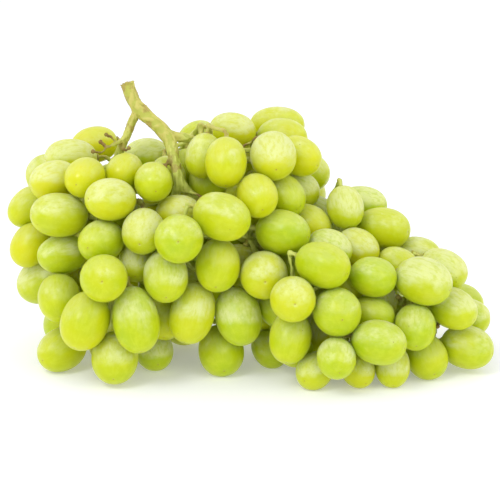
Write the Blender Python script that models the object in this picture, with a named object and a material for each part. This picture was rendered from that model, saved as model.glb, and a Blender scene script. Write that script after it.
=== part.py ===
"""A bunch of large green table grapes lying on a flat surface, with its cut stem rising at the upper left.

The stem is one grown piece: cut stalk, fork, main axis, side branches and a pedicel to every berry.
The berries are the other pieces. Neighbouring berries that press on each other share a node, joined
by a short neck at the spot where they touch.

Places are given on the bunch's leaning face: ACROSS runs right (+X), UP runs up the face, which leans
back by FACE_LEAN, and FRONT stands out from it, toward the side that shows best (-Y). The build turns
them into world metres, +Z up, with the origin at the bottom centre of the bunch's box.
"""

import math

import bmesh
import bpy
import numpy as np
from mathutils import Matrix, Vector

MM = 0.001

# Driving dimensions, in metres unless the name says otherwise.
BUNCH_LENGTH = 0.218  # along X, what the places below are stretched to
BUNCH_HEIGHT = 0.112  # up the leaning face, berries only
BUNCH_DEPTH = 0.108  # from the front berries to the back ones
BERRY_LENGTH = 0.025  # a full-size berry, stalk end to tip
BERRY_WIDTH = 0.020  # the same berry across
STEM_THICKNESS = 1.0  # share of the listed stem radii
PEDICEL_RADIUS = 0.00105  # the short stalk that carries one berry
PEDICEL_STRAIGHT = 0.0042  # how far a pedicel runs straight out of its berry
TOUCH_GAP = 0.0003  # clearance between pieces that meet
STALK_GAP = 0.0007  # clearance kept between berries and the stalks that pass them
NECK_RADIUS = 0.0015  # joins two berries of one node where they touch
NECK_DEPTH = 0.0016  # how far the neck reaches into each berry
MOST_BERRY_NODES = 58
BERRIES_PER_NODE = 3

# The bunch that the listed places were chosen for.
LISTED_LENGTH = 0.218
LISTED_HEIGHT = 0.112
LISTED_DEPTH = 0.108
FACE_LEAN = math.radians(15.0)
FACE_HEIGHT = 0.052  # height of the leaning face's middle above the surface
DRAW_IN = 1.25  # per metre: rows nearer the front close in on the middle
LEAST_NOD = math.radians(12.0)  # added to every listed nod, which turns the stalk ends into the bunch

# Berries that show, by region. Each row: across, up, front (mm), length, width (% of a full-size berry),
# swing (degrees from hanging straight down, + toward the right), nod (degrees the tip turns to the front).
SHOWN_BERRIES = {
    "left_wing": (
        (-73, 46, -15, 88, 85, -78, 0),
        (-83, 39, -3, 98, 90, -86, 10),
        (-88, 31, 4, 90, 90, -72, 10),
        (-75, 30, 15, 90, 88, -40, 55),
        (-65, 20, 28, 97, 93, -90, 30),
        (-102, 17, -3, 84, 82, -45, 0),
        (-88, 14, 21, 104, 98, -92, 12),
        (-101, 1, -2, 84, 86, -30, 0),
        (-87, -4, 15, 92, 88, -80, 20),
        (-69, 3, 31, 96, 94, -60, 50),
    ),
    "heart": (
        (-49, 41, 1, 88, 85, -80, 10),
        (-60, 32, 12, 84, 82, -30, 45),
        (-46, 27, 14, 84, 84, 20, 50),
        (-38, 31, 0, 84, 82, 10, 20),
        (-50, 7, 33, 94, 94, -10, 48),
        (-33, 3, 37, 100, 105, 10, 72),
        (-34, 15, 25, 88, 88, 88, 20),
        (-54, -8, 25, 84, 80, 0, 40),
        (-68, -15, 41, 96, 103, 10, 72),
        (-39, -15, 33, 100, 98, 4, 30),
        (-15, -9, 29, 103, 98, -4, 30),
        (-13, 14, 29, 104, 103, 70, 10),
        (5, -12, 29, 98, 105, 10, 65),
        (13, 5, 21, 100, 100, 80, 15),
        (-21, 27, 11, 84, 85, 10, 30),
    ),
    "foot": (
        (-88, -23, 19, 96, 95, 10, 35),
        (-75, -34, 34, 108, 106, -20, 10),
        (-52, -32, 38, 120, 101, 11, 8),
        (-64, -50, 32, 98, 103, 0, 30),
        (-87, -46, 9, 96, 97, -60, 30),
        (-45, -46, 8, 86, 86, 20, 40),
        (-40, -32, 18, 86, 90, 0, 20),
        (-28, -29, 31, 112, 98, -14, 5),
        (-7, -31, 21, 107, 102, 14, 5),
        (-14, -47, 19, 98, 102, 10, 30),
    ),
    "shoulder": (
        (-12, 35, 13, 94, 92, 0, 15),
        (8, 34, 15, 98, 103, 10, 45),
        (-10, 50, -7, 88, 86, 80, 0),
        (12, 47, -5, 96, 90, 80, 10),
        (11, 55, -20, 104, 88, 88, 0),
        (20, 37, -3, 88, 88, 60, 20),
        (-21, 41, 3, 84, 80, -10, 10),
        (-28, 38, -5, 78, 76, 0, 10),
        (-26, 50, -16, 74, 74, -60, 0),
        (1, 21, 7, 88, 90, 20, 40),
        (12, 19, 5, 88, 90, 40, 30),
        (20, 21, 1, 88, 90, 70, 10),
        (27, 19, -5, 86, 88, 70, 0),
        (22, 29, -9, 86, 88, 60, 0),
    ),
    "tail": (
        (26, 7, 11, 88, 90, 60, 20),
        (38, 11, -1, 84, 84, 10, 20),
        (49, 19, -17, 100, 85, 86, 15),
        (57, 4, 5, 106, 96, 82, 20),
        (35, -4, 19, 88, 90, 70, 30),
        (45, -4, 9, 84, 90, 60, 20),
        (30, -11, 29, 100, 98, 70, 15),
        (22, -22, 33, 92, 98, 20, 68),
        (36, -31, 37, 96, 104, 30, 60),
        (16, -39, 23, 97, 92, -10, 10),
        (43, -19, 19, 76, 82, 20, 10),
        (54, -16, 21, 84, 88, 80, 10),
        (54, -29, 25, 82, 84, 80, 10),
        (54, -41, 31, 98, 97, 78, 15),
        (72, -36, 27, 86, 92, 0, 30),
        (75, -17, 25, 104, 104, 70, 15),
        (85, -12, 7, 90, 88, 60, 0),
        (73, -4, 1, 88, 88, 80, 0),
        (62, -7, 7, 84, 84, 60, 20),
        (63, -25, 13, 84, 86, 40, 20),
    ),
    "tip": (
        (88, -27, 11, 92, 90, 60, 20),
        (97, -33, 1, 82, 82, 70, 0),
        (96, -44, 5, 98, 98, 76, 15),
        (79, -48, 19, 88, 92, 20, 30),
        (62, -52, 30, 82, 78, 0, 20),
        (48, -54, 31, 74, 75, 30, 30),
        (37, -50, 29, 78, 84, 10, 40),
        (28, -54, 27, 78, 80, -50, 35),
        (22, -46, 17, 80, 82, 50, 20),
        (8, -47, 6, 76, 78, 40, 20),
        (5, -33, 5, 84, 86, 10, 20),
        (11, -26, 11, 84, 86, 30, 20),
    ),
}

# The rest of the berries cover the back and underside of three swellings of the bunch, whose outlines
# these are. Each row: middle x, y, z and half-lengths x, y, z (mm), for the bunch as listed.
LOBES = {
    "back_left": ((-60, -1, 48), (46, 54, 50)),
    "back_shoulder": ((4, 8, 68), (36, 42, 37)),
    "back_tail": ((38, -3, 31), (46, 45, 32)),
    "back_tip": ((78, -8, 21), (28, 36, 22)),
}
LOBE_CANDIDATES = 600  # places tried on each swelling
LOBE_OVERLAP = 0.85  # share of a swelling's outline inside which no berry of another one starts
BACK_START = -0.004  # the back berries' middles lie no nearer the front than this
BACK_SPACING = 0.84  # between the middles of neighbouring back berries, as a share of a berry's width
BACK_SIZES = (106, 99, 110, 97, 103)  # % of a full-size berry, taken in turn
BACK_SAG = 0.35  # how much the tips of the back berries droop
CORE_SHELL = 0.35  # share of a swelling's outline on which the inner berries start
CORE_SPACING = 1.025  # as BACK_SPACING, for the inner berries
CORE_START = 0.016  # the inner berries' middles lie no nearer the front than this

# The stem. Each row: across, up, front, radius (mm).
STEMS = {
    "stalk": (
        (-57.4, 74.5, 9.0, 3.2),
        (-56.2, 71.0, 9.0, 2.9),
        (-54.4, 65.8, 9.0, 2.8),
        (-52.0, 62.5, 9.0, 3.4),
        (-48.6, 59.0, 9.5, 3.0),
        (-43.0, 54.4, 10.0, 3.0),
        (-38.6, 49.8, 10.5, 3.3),
        (-36.8, 44.0, 12.0, 2.5),
        (-35.6, 38.0, 13.5, 2.2),
        (-34.4, 32.5, 14.0, 2.2),
        (-33.3, 28.6, 13.5, 2.5),
        (-28.0, 23.0, 10.0, 1.8),
        (-18.0, 14.0, 4.0, 2.0),
        (-5.0, 4.0, -2.0, 1.9),
        (12.0, -4.0, -4.0, 1.8),
        (30.0, -12.0, -4.0, 1.7),
        (48.0, -19.0, -4.0, 1.5),
        (66.0, -25.0, -4.0, 1.4),
        (80.0, -29.0, -5.0, 1.2),
    ),
    "left_branch": (
        (-52.0, 62.0, 9.0, 2.3),
        (-54.6, 57.5, 8.5, 1.8),
        (-57.4, 50.5, 7.5, 1.8),
        (-60.6, 43.0, 4.0, 1.8),
        (-68.0, 30.0, -4.0, 1.4),
        (-78.0, 18.0, -8.0, 1.3),
        (-87.0, 8.0, -9.0, 1.1),
    ),
    "left_back_branch": (
        (-60.6, 43.0, 4.0, 1.3),
        (-61.5, 37.0, -8.0, 1.2),
        (-60.0, 36.0, -20.0, 1.1),
        (-64.0, 33.0, -31.0, 1.0),
    ),
    "heart_branch": (
        (-33.3, 28.6, 13.5, 2.0),
        (-36.0, 22.5, 11.0, 1.7),
        (-44.0, 12.0, 4.0, 1.6),
        (-55.0, 0.0, -2.0, 1.5),
        (-66.0, -14.0, -5.0, 1.4),
        (-73.0, -27.0, -4.0, 1.2),
    ),
    "shoulder_branch": (
        (-38.0, 50.4, 10.4, 2.4),
        (-31.0, 49.2, 8.0, 2.0),
        (-24.0, 47.5, 2.0, 1.7),
        (-12.0, 42.0, -8.0, 1.5),
        (2.0, 38.0, -16.0, 1.4),
        (14.0, 30.0, -19.0, 1.2),
    ),
    "shoulder_twig": (
        (-12.0, 42.0, -8.0, 1.3),
        (-6.0, 43.5, -3.0, 1.2),
        (0.0, 43.5, 0.0, 1.1),
        (5.0, 41.0, -2.0, 1.0),
    ),
    "foot_branch": (
        (-18.0, 14.0, 4.0, 1.5),
        (-20.0, 0.0, -2.0, 1.4),
        (-24.0, -16.0, -2.0, 1.3),
        (-28.0, -30.0, -2.0, 1.1),
    ),
    "back_branch": (
        (-55.0, 0.0, -2.0, 1.4),
        (-56.0, 0.0, -18.0, 1.3),
        (-58.0, -6.0, -30.0, 1.1),
    ),
}
# Pedicels that have lost their berry and dried. Each row as for STEMS.
BARE_PEDICELS = (
    ((-57.6, 50.0, 7.5, 0.9), (-62.0, 46.5, 9.0, 0.8), (-66.5, 45.0, 9.5, 0.75), (-69.5, 47.5, 9.0, 1.1)),
    ((-66.5, 45.0, 9.5, 0.75), (-69.0, 42.5, 10.5, 0.7), (-73.0, 43.0, 10.5, 1.0)),
    ((-62.0, 46.5, 9.0, 0.8), (-64.5, 49.5, 9.5, 0.7), (-67.0, 50.8, 9.5, 1.0)),
    ((-60.3, 44.0, 3.6, 0.9), (-57.8, 43.6, 9.0, 0.8), (-56.4, 44.6, 11.0, 1.1)),
    ((-24.6, 47.6, 2.6, 0.9), (-22.0, 50.0, 5.0, 0.7), (-20.4, 51.6, 6.0, 1.1)),
    ((-37.0, 44.5, 12.0, 0.9), (-39.0, 38.0, 14.5, 0.8), (-40.2, 35.2, 15.5, 1.2)),
    ((0.0, 43.5, 0.0, 0.9), (-1.5, 46.5, 5.0, 0.8), (0.5, 48.5, 8.0, 0.75), (3.5, 49.5, 9.0, 1.1)),
    ((-1.5, 46.5, 5.0, 0.8), (-4.0, 46.0, 9.0, 0.7), (-5.5, 44.5, 11.0, 1.1)),
    ((-39.0, 18.0, 8.5, 0.9), (-44.0, 19.0, 15.0, 0.8), (-49.0, 18.5, 20.0, 0.75), (-53.0, 20.5, 21.0, 1.1)),
    ((-49.0, 18.5, 20.0, 0.75), (-51.5, 16.5, 22.0, 0.7), (-54.0, 15.5, 23.0, 1.0)),
    ((-29.5, 24.8, 11.0, 0.9), (-25.5, 23.5, 15.0, 0.8), (-22.5, 21.5, 18.0, 1.1)),
    ((66.0, -25.0, -4.0, 1.0), (67.0, -24.5, 8.0, 0.9), (66.5, -23.5, 19.0, 0.8), (65.5, -23.0, 24.0, 1.1)),
    ((80.0, -29.0, -5.0, 0.9), (83.0, -32.0, 6.0, 0.8), (84.0, -35.5, 14.0, 0.8), (83.5, -36.5, 18.0, 1.1)),
)
ROOT_TOP = 46.0  # no pedicel of a berry grows from the stem above this, in mm up the face
ROOT_STEP = 0.004  # between the spots on the stem that a pedicel may grow from

# How the berries settle against each other.
CHAIN = 5  # spheres that stand for a berry along its axis
PULLED_ROUNDS = 4
FREE_ROUNDS = 40
REGROWN_ROUNDS = 6
SETTLE_STEPS = 80
SHOWN_YIELD = 0.15  # how far a shown berry gives way along the face, against in and out of it
HOME_PULL = 0.03
BERRY_EASE = 0.45  # share of a press between two berries that each of them gives way by
STALK_EASE = 0.5  # the same for a berry that presses on a stalk
REST_SHARE = 0.08  # a berry nearer the surface than this share of its width rests on it
LEAST_OVAL = 1.08  # a berry is at least this much longer than wide
SHRINK_SHARE = 0.25  # how much of its press a berry with no room left shrinks by

# How the pedicels grow. Costs are in metres of pedicel.
HIDE_STALKS = 0.8  # cost per metre that a pedicel runs toward the front
CROSS_BERRY = 30.0  # cost per metre that a pedicel cuts into a berry
CROSS_MARGIN = 1.8  # pedicel radii kept clear of the berries that it passes
JOINT_COST = 0.002  # cost of growing from another pedicel
FOLD_BACK = 0.012  # cost of turning back
FAR_COST = 1.0  # cost of being too long
EASY_KNOT = 0.5  # cosine of the bend that costs nothing
SHARPEST_KNOT = 0.1  # cosine of the sharpest bend that one tube can follow
LONGEST_PEDICEL = 0.060
STALK_THICKENING = 0.28  # power by which a stalk thickens with the berries it feeds

# How the solids are made.
STALK_SIDES = 10
BRANCH_SIDES = 8
BARE_SIDES = 6
PEDICEL_SIDES = 4
NECK_SIDES = 6
NECK_PROBES = 5  # spots along a neck that are tested against the stalks
KNOT_SWELL = 1.2  # radius of the knot at a sharp bend, in pedicel radii
STEM_STEP = 0.007  # between the rings of a stem

GREEN_SKIN = (0.55, 0.62, 0.05, 1.0)
GREEN_WOOD = (0.38, 0.42, 0.10, 1.0)


def stretch():
    """How far the listed places are stretched across, up and front."""
    return np.array(
        (BUNCH_LENGTH / LISTED_LENGTH, BUNCH_HEIGHT / LISTED_HEIGHT, BUNCH_DEPTH / LISTED_DEPTH)
    )


def face_axes():
    """World directions of across, up and front, as rows."""
    lean_cos = math.cos(FACE_LEAN)
    lean_sin = math.sin(FACE_LEAN)
    return np.array(((1.0, 0.0, 0.0), (0.0, lean_sin, lean_cos), (0.0, -lean_cos, lean_sin)))


def world_point(across, up, front):
    """World point, in metres, of a listed place."""
    place = np.array((across, up, front)) * MM * stretch()
    place[:2] *= 1.0 - DRAW_IN * place[2]
    foot = np.array((0.0, 0.0, FACE_HEIGHT * stretch()[1]))
    return place @ face_axes() + foot


def shown_axis(swing, nod):
    """Unit direction from a berry's stalk end to its tip."""
    swing = math.radians(swing)
    nod = math.radians(nod) + LEAST_NOD
    flat = math.cos(nod)
    return np.array((flat * math.sin(swing), -flat * math.cos(swing), math.sin(nod))) @ face_axes()


class Berries:
    """All berries as arrays: middle, axis, half-length, half-width, region and freedom to move."""

    def __init__(self):
        self.middles = []
        self.axes = []
        self.half_lengths = []
        self.half_widths = []
        self.regions = []
        self.shown = []

    def add(self, region, middle, axis, length_share, width_share, shown):
        self.regions.append(region)
        self.middles.append(middle)
        self.axes.append(axis / np.linalg.norm(axis))
        half_length = 0.5 * BERRY_LENGTH * length_share / 100.0
        half_width = 0.5 * BERRY_WIDTH * width_share / 100.0
        self.half_widths.append(half_width)
        self.half_lengths.append(max(half_length, LEAST_OVAL * half_width))
        self.shown.append(shown)

    def finish(self):
        """Turns the lists into arrays and works out what stays fixed while the berries settle."""
        self.middles = np.array(self.middles)
        self.axes = np.array(self.axes)
        self.half_lengths = np.array(self.half_lengths)
        self.half_widths = np.array(self.half_widths)
        self.shown = np.array(self.shown)
        self.home = self.middles.copy()
        self.measure()

    def measure(self):
        """Works out the spheres that stand for each berry, and how far below its middle it reaches."""
        focus = self.half_lengths**2 - self.half_widths**2
        reach = (focus / self.half_lengths)[:, None]
        self.offsets = reach * np.linspace(-1.0, 1.0, CHAIN)[None, :]
        self.radii = self.half_widths[:, None] * np.sqrt(1.0 - self.offsets**2 / focus[:, None])
        corners = unit_berry_corners()
        self.lowest = np.array([lowest_corner(corners, self, i) for i in range(len(self.middles))])

    def spheres(self):
        """Middles of every berry's spheres, berries by spheres by xyz."""
        return self.middles[:, None, :] + self.offsets[:, :, None] * self.axes[:, None, :]

    def stalk_ends(self, beyond):
        """Points straight out of every berry's stalk end, this far from its skin."""
        return self.middles - self.axes * (self.half_lengths + beyond)[:, None]


def unit_berry_corners():
    """Corners of the ball that a berry is stretched from."""
    mesh = bmesh.new()
    bmesh.ops.create_icosphere(mesh, subdivisions=2, radius=1.0)
    corners = np.array([vertex.co[:] for vertex in mesh.verts])
    mesh.free()
    return corners


def turn_to(axis):
    """Rotation that takes +Z to an axis."""
    return Vector((0.0, 0.0, 1.0)).rotation_difference(Vector(axis)).to_matrix()


def lowest_corner(corners, berries, index):
    """How far below its middle a berry's mesh reaches."""
    width = berries.half_widths[index]
    size = np.array((width, width, berries.half_lengths[index]))
    turned = (corners * size) @ np.array(turn_to(berries.axes[index])).T
    return turned[:, 2].min()


def add_shown_berries(berries):
    for region, rows in SHOWN_BERRIES.items():
        for across, up, front, length, width, swing, nod in rows:
            middle = world_point(across, up, front)
            berries.add(region, middle, shown_axis(swing, nod), length, width, True)


def lobe_sizes(name):
    """Middle and half-lengths of a swelling, in metres, for the bunch as sized."""
    middle, halves = LOBES[name]
    across, up, front = stretch()
    size = np.array((across, front, up))
    return np.array(middle) * MM * size, np.array(halves) * MM * size


def spiral_directions(count):
    """Directions spread evenly over a ball, on a golden-angle spiral."""
    steps = np.arange(count)
    height = 1.0 - 2.0 * (steps + 0.5) / count
    turn = steps * math.pi * (3.0 - math.sqrt(5.0))
    flat = np.sqrt(1.0 - height**2)
    return np.stack((flat * np.cos(turn), flat * np.sin(turn), height), axis=1)


def lobe_places(share, start):
    """Candidate middles on a shell of every swelling, with their outward directions and regions."""
    places = []
    front_axis = face_axes()[2]
    face_middle = np.array((0.0, 0.0, FACE_HEIGHT * stretch()[1]))
    half_width = 0.5 * BERRY_WIDTH
    for name in LOBES:
        middle, halves = lobe_sizes(name)
        for direction in spiral_directions(LOBE_CANDIDATES):
            point = middle + direction * (halves - half_width) * share
            point[2] = max(point[2], half_width)
            if (point - face_middle) @ front_axis > start:
                continue
            if share == 1.0 and inside_another_lobe(point, name):
                continue
            outward = direction / halves
            places.append((name, point, outward / np.linalg.norm(outward)))
    return places


def inside_another_lobe(point, name):
    for other in LOBES:
        if other == name:
            continue
        middle, halves = lobe_sizes(other)
        if np.linalg.norm((point - middle) / (halves - 0.5 * BERRY_WIDTH)) < LOBE_OVERLAP:
            return True
    return False


def fill_places(berries, places, spacing):
    """Puts berries at candidate places, each as near to its neighbours as the spacing lets it."""
    points = np.array([point for _, point, _ in places])
    taken = np.array(berries.middles)
    nearest = np.linalg.norm(points[:, None, :] - taken[None, :, :], axis=2).min(axis=1)
    number = 0
    while True:
        nearest[nearest < spacing] = np.inf
        chosen = int(np.argmin(nearest))
        if not np.isfinite(nearest[chosen]):
            return
        name, point, outward = places[chosen]
        share = BACK_SIZES[number % len(BACK_SIZES)]
        axis = outward - np.array((0.0, 0.0, BACK_SAG)) * (1.0 - abs(outward[2]))
        berries.add(name, point, axis, share, share, False)
        distance = np.linalg.norm(points - point, axis=1)
        nearest = np.where(np.isfinite(nearest), np.minimum(nearest, distance), np.inf)
        number += 1


class Stalks:
    """The stem as straight stretches: the listed stems, and the tree of pedicels grown on them."""

    def __init__(self):
        self.listed = [stem_path(rows) for rows in STEMS.values()]
        self.bare = [stem_path(rows) for rows in BARE_PEDICELS]
        starts, ends, radii = [], [], []
        for points, thickness in self.listed + self.bare:
            starts.extend(points[:-1])
            ends.extend(points[1:])
            radii.extend(np.maximum(thickness[:-1], thickness[1:]))
        self.starts = np.array(starts)
        self.ends = np.array(ends)
        self.radii = np.array(radii)
        self.roots = root_points(self.listed)
        self.parents = None
        self.feeds = None

    def pedicel_radii(self):
        return PEDICEL_RADIUS * np.maximum(self.feeds, 1) ** STALK_THICKENING

    def stretches(self, berries):
        """Starts, ends and radii of every stretch, and the berry whose skin it ends on, or -1."""
        none = np.full(len(self.starts), -1)
        if self.parents is None:
            return self.starts, self.ends, self.radii, none
        knots = berries.stalk_ends(PEDICEL_STRAIGHT)
        poles = berries.stalk_ends(PEDICEL_RADIUS)
        tree = np.concatenate((knots, self.roots))
        own = np.arange(len(knots))
        starts = np.concatenate((self.starts, knots, knots))
        ends = np.concatenate((self.ends, tree[self.parents], poles))
        straight = np.full(len(knots), PEDICEL_RADIUS)
        radii = np.concatenate((self.radii, self.pedicel_radii(), straight))
        return starts, ends, radii, np.concatenate((none, np.full(len(knots), -1), own))

    def grow(self, berries):
        """Joins every berry's pedicel to the nearest stalk, going round the berries in between."""
        knots = berries.stalk_ends(PEDICEL_STRAIGHT)
        tree = np.concatenate((knots, self.roots))
        cost = crossing_cost(berries, knots, tree)
        count = len(knots)
        self.parents = np.full(count, -1)
        best = cost[:, count:].min(axis=1)
        choice = cost[:, count:].argmin(axis=1) + count
        joined = np.zeros(count, bool)
        order = []
        for _ in range(count):
            berry = int(np.argmin(np.where(joined, np.inf, best)))
            self.parents[berry] = choice[berry]
            joined[berry] = True
            order.append(berry)
            nearer = cost[:, berry] + JOINT_COST < best
            best = np.where(nearer, cost[:, berry] + JOINT_COST, best)
            choice = np.where(nearer, berry, choice)
        self.feeds = np.ones(count)
        for berry in reversed(order):
            if self.parents[berry] < count:
                self.feeds[self.parents[berry]] += self.feeds[berry]


def stem_path(rows):
    """World points and radii, in metres, along the curve through one listed stem."""
    points = [world_point(*row[:3]) for row in rows]
    radii = [row[3] * MM * STEM_THICKNESS for row in rows]
    curve_points, curve_radii = smooth_path(points, radii, STEM_STEP)
    return np.array(curve_points), np.array(curve_radii)


def root_points(paths):
    """Points along the listed stems, inside the bunch, that pedicels may grow from."""
    roots = []
    top = world_point(0.0, ROOT_TOP, 0.0)[2]
    for points, _ in paths:
        for start, end in zip(points[:-1], points[1:]):
            steps = max(1, int(np.linalg.norm(end - start) / ROOT_STEP))
            roots.extend(start + (end - start) * step / steps for step in range(1, steps + 1))
    roots = np.array(roots)
    return roots[roots[:, 2] < top]


def nearest_on_stretch(points, starts, ends):
    """Nearest points on straight stretches; the arrays broadcast."""
    along = ends - starts
    share = ((points - starts) * along).sum(-1) / np.maximum((along * along).sum(-1), 1e-12)
    return starts + np.clip(share, 0.0, 1.0)[..., None] * along


def crossing_cost(berries, knots, tree):
    """Length of every possible pedicel, knots by tree points, made dearer by each berry it would cross."""
    spheres = berries.spheres().reshape(-1, 3)
    reach = berries.radii.reshape(-1) + CROSS_MARGIN * PEDICEL_RADIUS + TOUCH_GAP
    length = np.linalg.norm(knots[:, None, :] - tree[None, :, :], axis=2)
    forward = (tree @ face_axes()[2])[None, :] - (knots @ face_axes()[2])[:, None]
    cost = length + HIDE_STALKS * np.maximum(forward, 0.0)
    onward = (tree[None, :, :] - knots[:, None, :]) / np.maximum(length, 1e-6)[:, :, None]
    straightness = -(onward * berries.axes[:, None, :]).sum(axis=2)
    cost += FOLD_BACK * np.maximum(EASY_KNOT - straightness, 0.0)
    for index, knot in enumerate(knots):
        near = np.flatnonzero(length[index] < LONGEST_PEDICEL)
        hit = nearest_on_stretch(spheres[None], np.broadcast_to(knot, (len(near), 1, 3)), tree[near][:, None])
        deep = reach[None] - np.linalg.norm(spheres[None] - hit, axis=2)
        deep = deep.reshape(len(near), -1, CHAIN).max(axis=2)
        cost[index, near] += CROSS_BERRY * np.maximum(deep, 0.0).sum(axis=1)
        cost[index, index] = np.inf
    cost[length >= LONGEST_PEDICEL] += FAR_COST
    return cost


def yield_vector(berries, index, push):
    """A push as a berry follows it: shown berries give way mostly in and out of the face."""
    axes = face_axes()
    share = np.array((SHOWN_YIELD, SHOWN_YIELD, 1.0))
    eased = ((push @ axes.T) * share) @ axes
    return np.where(berries.shown[index][:, None], eased, push)


def deepest(step, reach):
    """Deepest press of each pair of sphere chains, and the direction that clears it."""
    distance = np.maximum(np.linalg.norm(step, axis=-1), 1e-6)
    press = (reach - distance).reshape(len(step), -1)
    worst = press.argmax(axis=1)
    rows = np.arange(len(step))
    direction = (step / distance[..., None]).reshape(len(step), -1, 3)[rows, worst]
    return press[rows, worst], direction


def berry_presses(berries, gap):
    """Every pair of berries that might press: first, second, press and the way to move the first."""
    spheres = berries.spheres()
    between = np.linalg.norm(berries.middles[:, None] - berries.middles[None], axis=2)
    reach = berries.half_lengths[:, None] + berries.half_lengths[None] + gap
    first, second = np.nonzero(np.triu(between < reach, 1))
    step = spheres[first][:, :, None, :] - spheres[second][:, None, :, :]
    chain_reach = berries.radii[first][:, :, None] + berries.radii[second][:, None, :] + gap
    return first, second, *deepest(step, chain_reach)


def stalk_presses(berries, stalks, gap):
    """Every berry and stretch of stalk that might press: berry, press and the way to move the berry."""
    starts, ends, radii, owners = stalks.stretches(berries)
    hit = nearest_on_stretch(berries.middles[:, None, :], starts, ends)
    between = np.linalg.norm(berries.middles[:, None, :] - hit, axis=2)
    own = np.arange(len(berries.middles))[:, None] == owners[None, :]
    close = between < berries.half_lengths[:, None] + radii[None, :] + gap
    rows, columns = np.nonzero(close & ~own)
    spheres = berries.spheres()[rows]
    hit = nearest_on_stretch(spheres, starts[columns][:, None], ends[columns][:, None])
    chain_reach = berries.radii[rows] + (radii[columns] + gap)[:, None]
    return rows, *deepest(spheres - hit, chain_reach)


def relax(berries, stalks, steps, pull):
    """Lets the berries push each other about. Returns True once nothing presses."""
    for _ in range(steps):
        berries.middles += (berries.home - berries.middles) * pull
        first, second, apart, way = berry_presses(berries, TOUCH_GAP)
        push = way * (BERRY_EASE * np.maximum(apart, 0.0))[:, None]
        np.add.at(berries.middles, first, yield_vector(berries, first, push))
        np.add.at(berries.middles, second, yield_vector(berries, second, -push))
        rows, clear, way = stalk_presses(berries, stalks, STALK_GAP)
        push = way * (STALK_EASE * np.maximum(clear, 0.0))[:, None]
        np.add.at(berries.middles, rows, yield_vector(berries, rows, push))
        rest_on_surface(berries)
        if pull == 0.0 and apart.max() < 0.5 * TOUCH_GAP and clear.max() < 0.5 * STALK_GAP:
            return True
    return False


def shrink_pressed(berries, stalks):
    """A berry with no room left grows a little smaller."""
    first, second, apart, _ = berry_presses(berries, TOUCH_GAP)
    rows, clear, _ = stalk_presses(berries, stalks, STALK_GAP)
    press = np.zeros(len(berries.middles))
    np.maximum.at(press, first, apart)
    np.maximum.at(press, second, apart)
    np.maximum.at(press, rows, clear)
    share = 1.0 - SHRINK_SHARE * np.maximum(press, 0.0) / berries.half_widths
    berries.half_widths *= share
    berries.half_lengths *= share
    berries.measure()


def rest_on_surface(berries):
    """Lifts berries out of the surface, and lets those that nearly touch it rest on it."""
    bottom = berries.middles[:, 2] + berries.lowest
    resting = bottom < REST_SHARE * BERRY_WIDTH
    berries.middles[resting, 2] -= bottom[resting]


def settle(berries, stalks):
    """Lets the berries find places clear of each other and of the stem, near where they were put."""
    for _ in range(PULLED_ROUNDS):
        relax(berries, stalks, SETTLE_STEPS, HOME_PULL)
        stalks.grow(berries)
    for number in range(FREE_ROUNDS):
        if relax(berries, stalks, SETTLE_STEPS, 0.0):
            return
        if number < REGROWN_ROUNDS:
            stalks.grow(berries)
        else:
            shrink_pressed(berries, stalks)


def skin_gap(berries, first, second):
    """Gap between two berries' skins."""
    spheres = berries.spheres()
    step = spheres[first][:, None, :] - spheres[second][None, :, :]
    reach = berries.radii[first][:, None] + berries.radii[second][None, :]
    return (np.linalg.norm(step, axis=2) - reach).min()


def neck_ends(berries, first, second, depth):
    """Two points, this deep in each of two berries, on the line where their skins come nearest."""
    spheres = berries.spheres()
    step = spheres[second][None, :, :] - spheres[first][:, None, :]
    distance = np.linalg.norm(step, axis=2)
    gap = distance - berries.radii[first][:, None] - berries.radii[second][None, :]
    a, b = np.unravel_index(gap.argmin(), gap.shape)
    direction = step[a, b] / distance[a, b]
    start = spheres[first][a] + direction * (berries.radii[first][a] - depth)
    end = spheres[second][b] - direction * (berries.radii[second][b] - depth)
    return start, end


def neck_is_clear(berries, stalks, first, second):
    """Whether a neck between two berries would miss every stalk."""
    starts, ends, radii, _ = stalks.stretches(berries)
    start, end = neck_ends(berries, first, second, 0.0)
    along = start + (end - start) * np.linspace(0.0, 1.0, NECK_PROBES)[:, None]
    hit = nearest_on_stretch(along[:, None, :], starts, ends)
    room = np.linalg.norm(along[:, None, :] - hit, axis=2) - radii - NECK_RADIUS
    return room.min() > 0.0


def shared_nodes(berries, stalks):
    """Groups of neighbouring berries, nearest first, until MOST_BERRY_NODES are left."""
    count = len(berries.middles)
    groups = {index: [index] for index in range(count)}
    owner = list(range(count))
    pairs = []
    for first in range(count):
        for second in range(first + 1, count):
            if berries.regions[first] == berries.regions[second]:
                pairs.append((skin_gap(berries, first, second), first, second))
    necks = []
    for gap, first, second in sorted(pairs):
        a, b = owner[first], owner[second]
        if a == b or len(groups[a]) + len(groups[b]) > BERRIES_PER_NODE:
            continue
        if len(groups) <= MOST_BERRY_NODES:
            break
        if not neck_is_clear(berries, stalks, first, second):
            continue
        for moved in groups.pop(b):
            owner[moved] = a
            groups[a].append(moved)
        necks.append((a, first, second))
    return groups, [(owner[first], first, second) for _, first, second in necks]


def new_object(name, mesh, material):
    """An object holding a bmesh, shaded smooth."""
    data = bpy.data.meshes.new(name)
    mesh.to_mesh(data)
    mesh.free()
    data.shade_smooth()
    data.materials.append(material)
    item = bpy.data.objects.new(name, data)
    bpy.context.scene.collection.objects.link(item)
    return item


def hide(item):
    item.hide_render = True
    item.display_type = "WIRE"


def join_to(item, other, name):
    """Joins another object to this one with a Boolean union."""
    hide(other)
    union = item.modifiers.new(name, "BOOLEAN")
    union.operation = "UNION"
    union.solver = "EXACT"
    union.object = other


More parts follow.
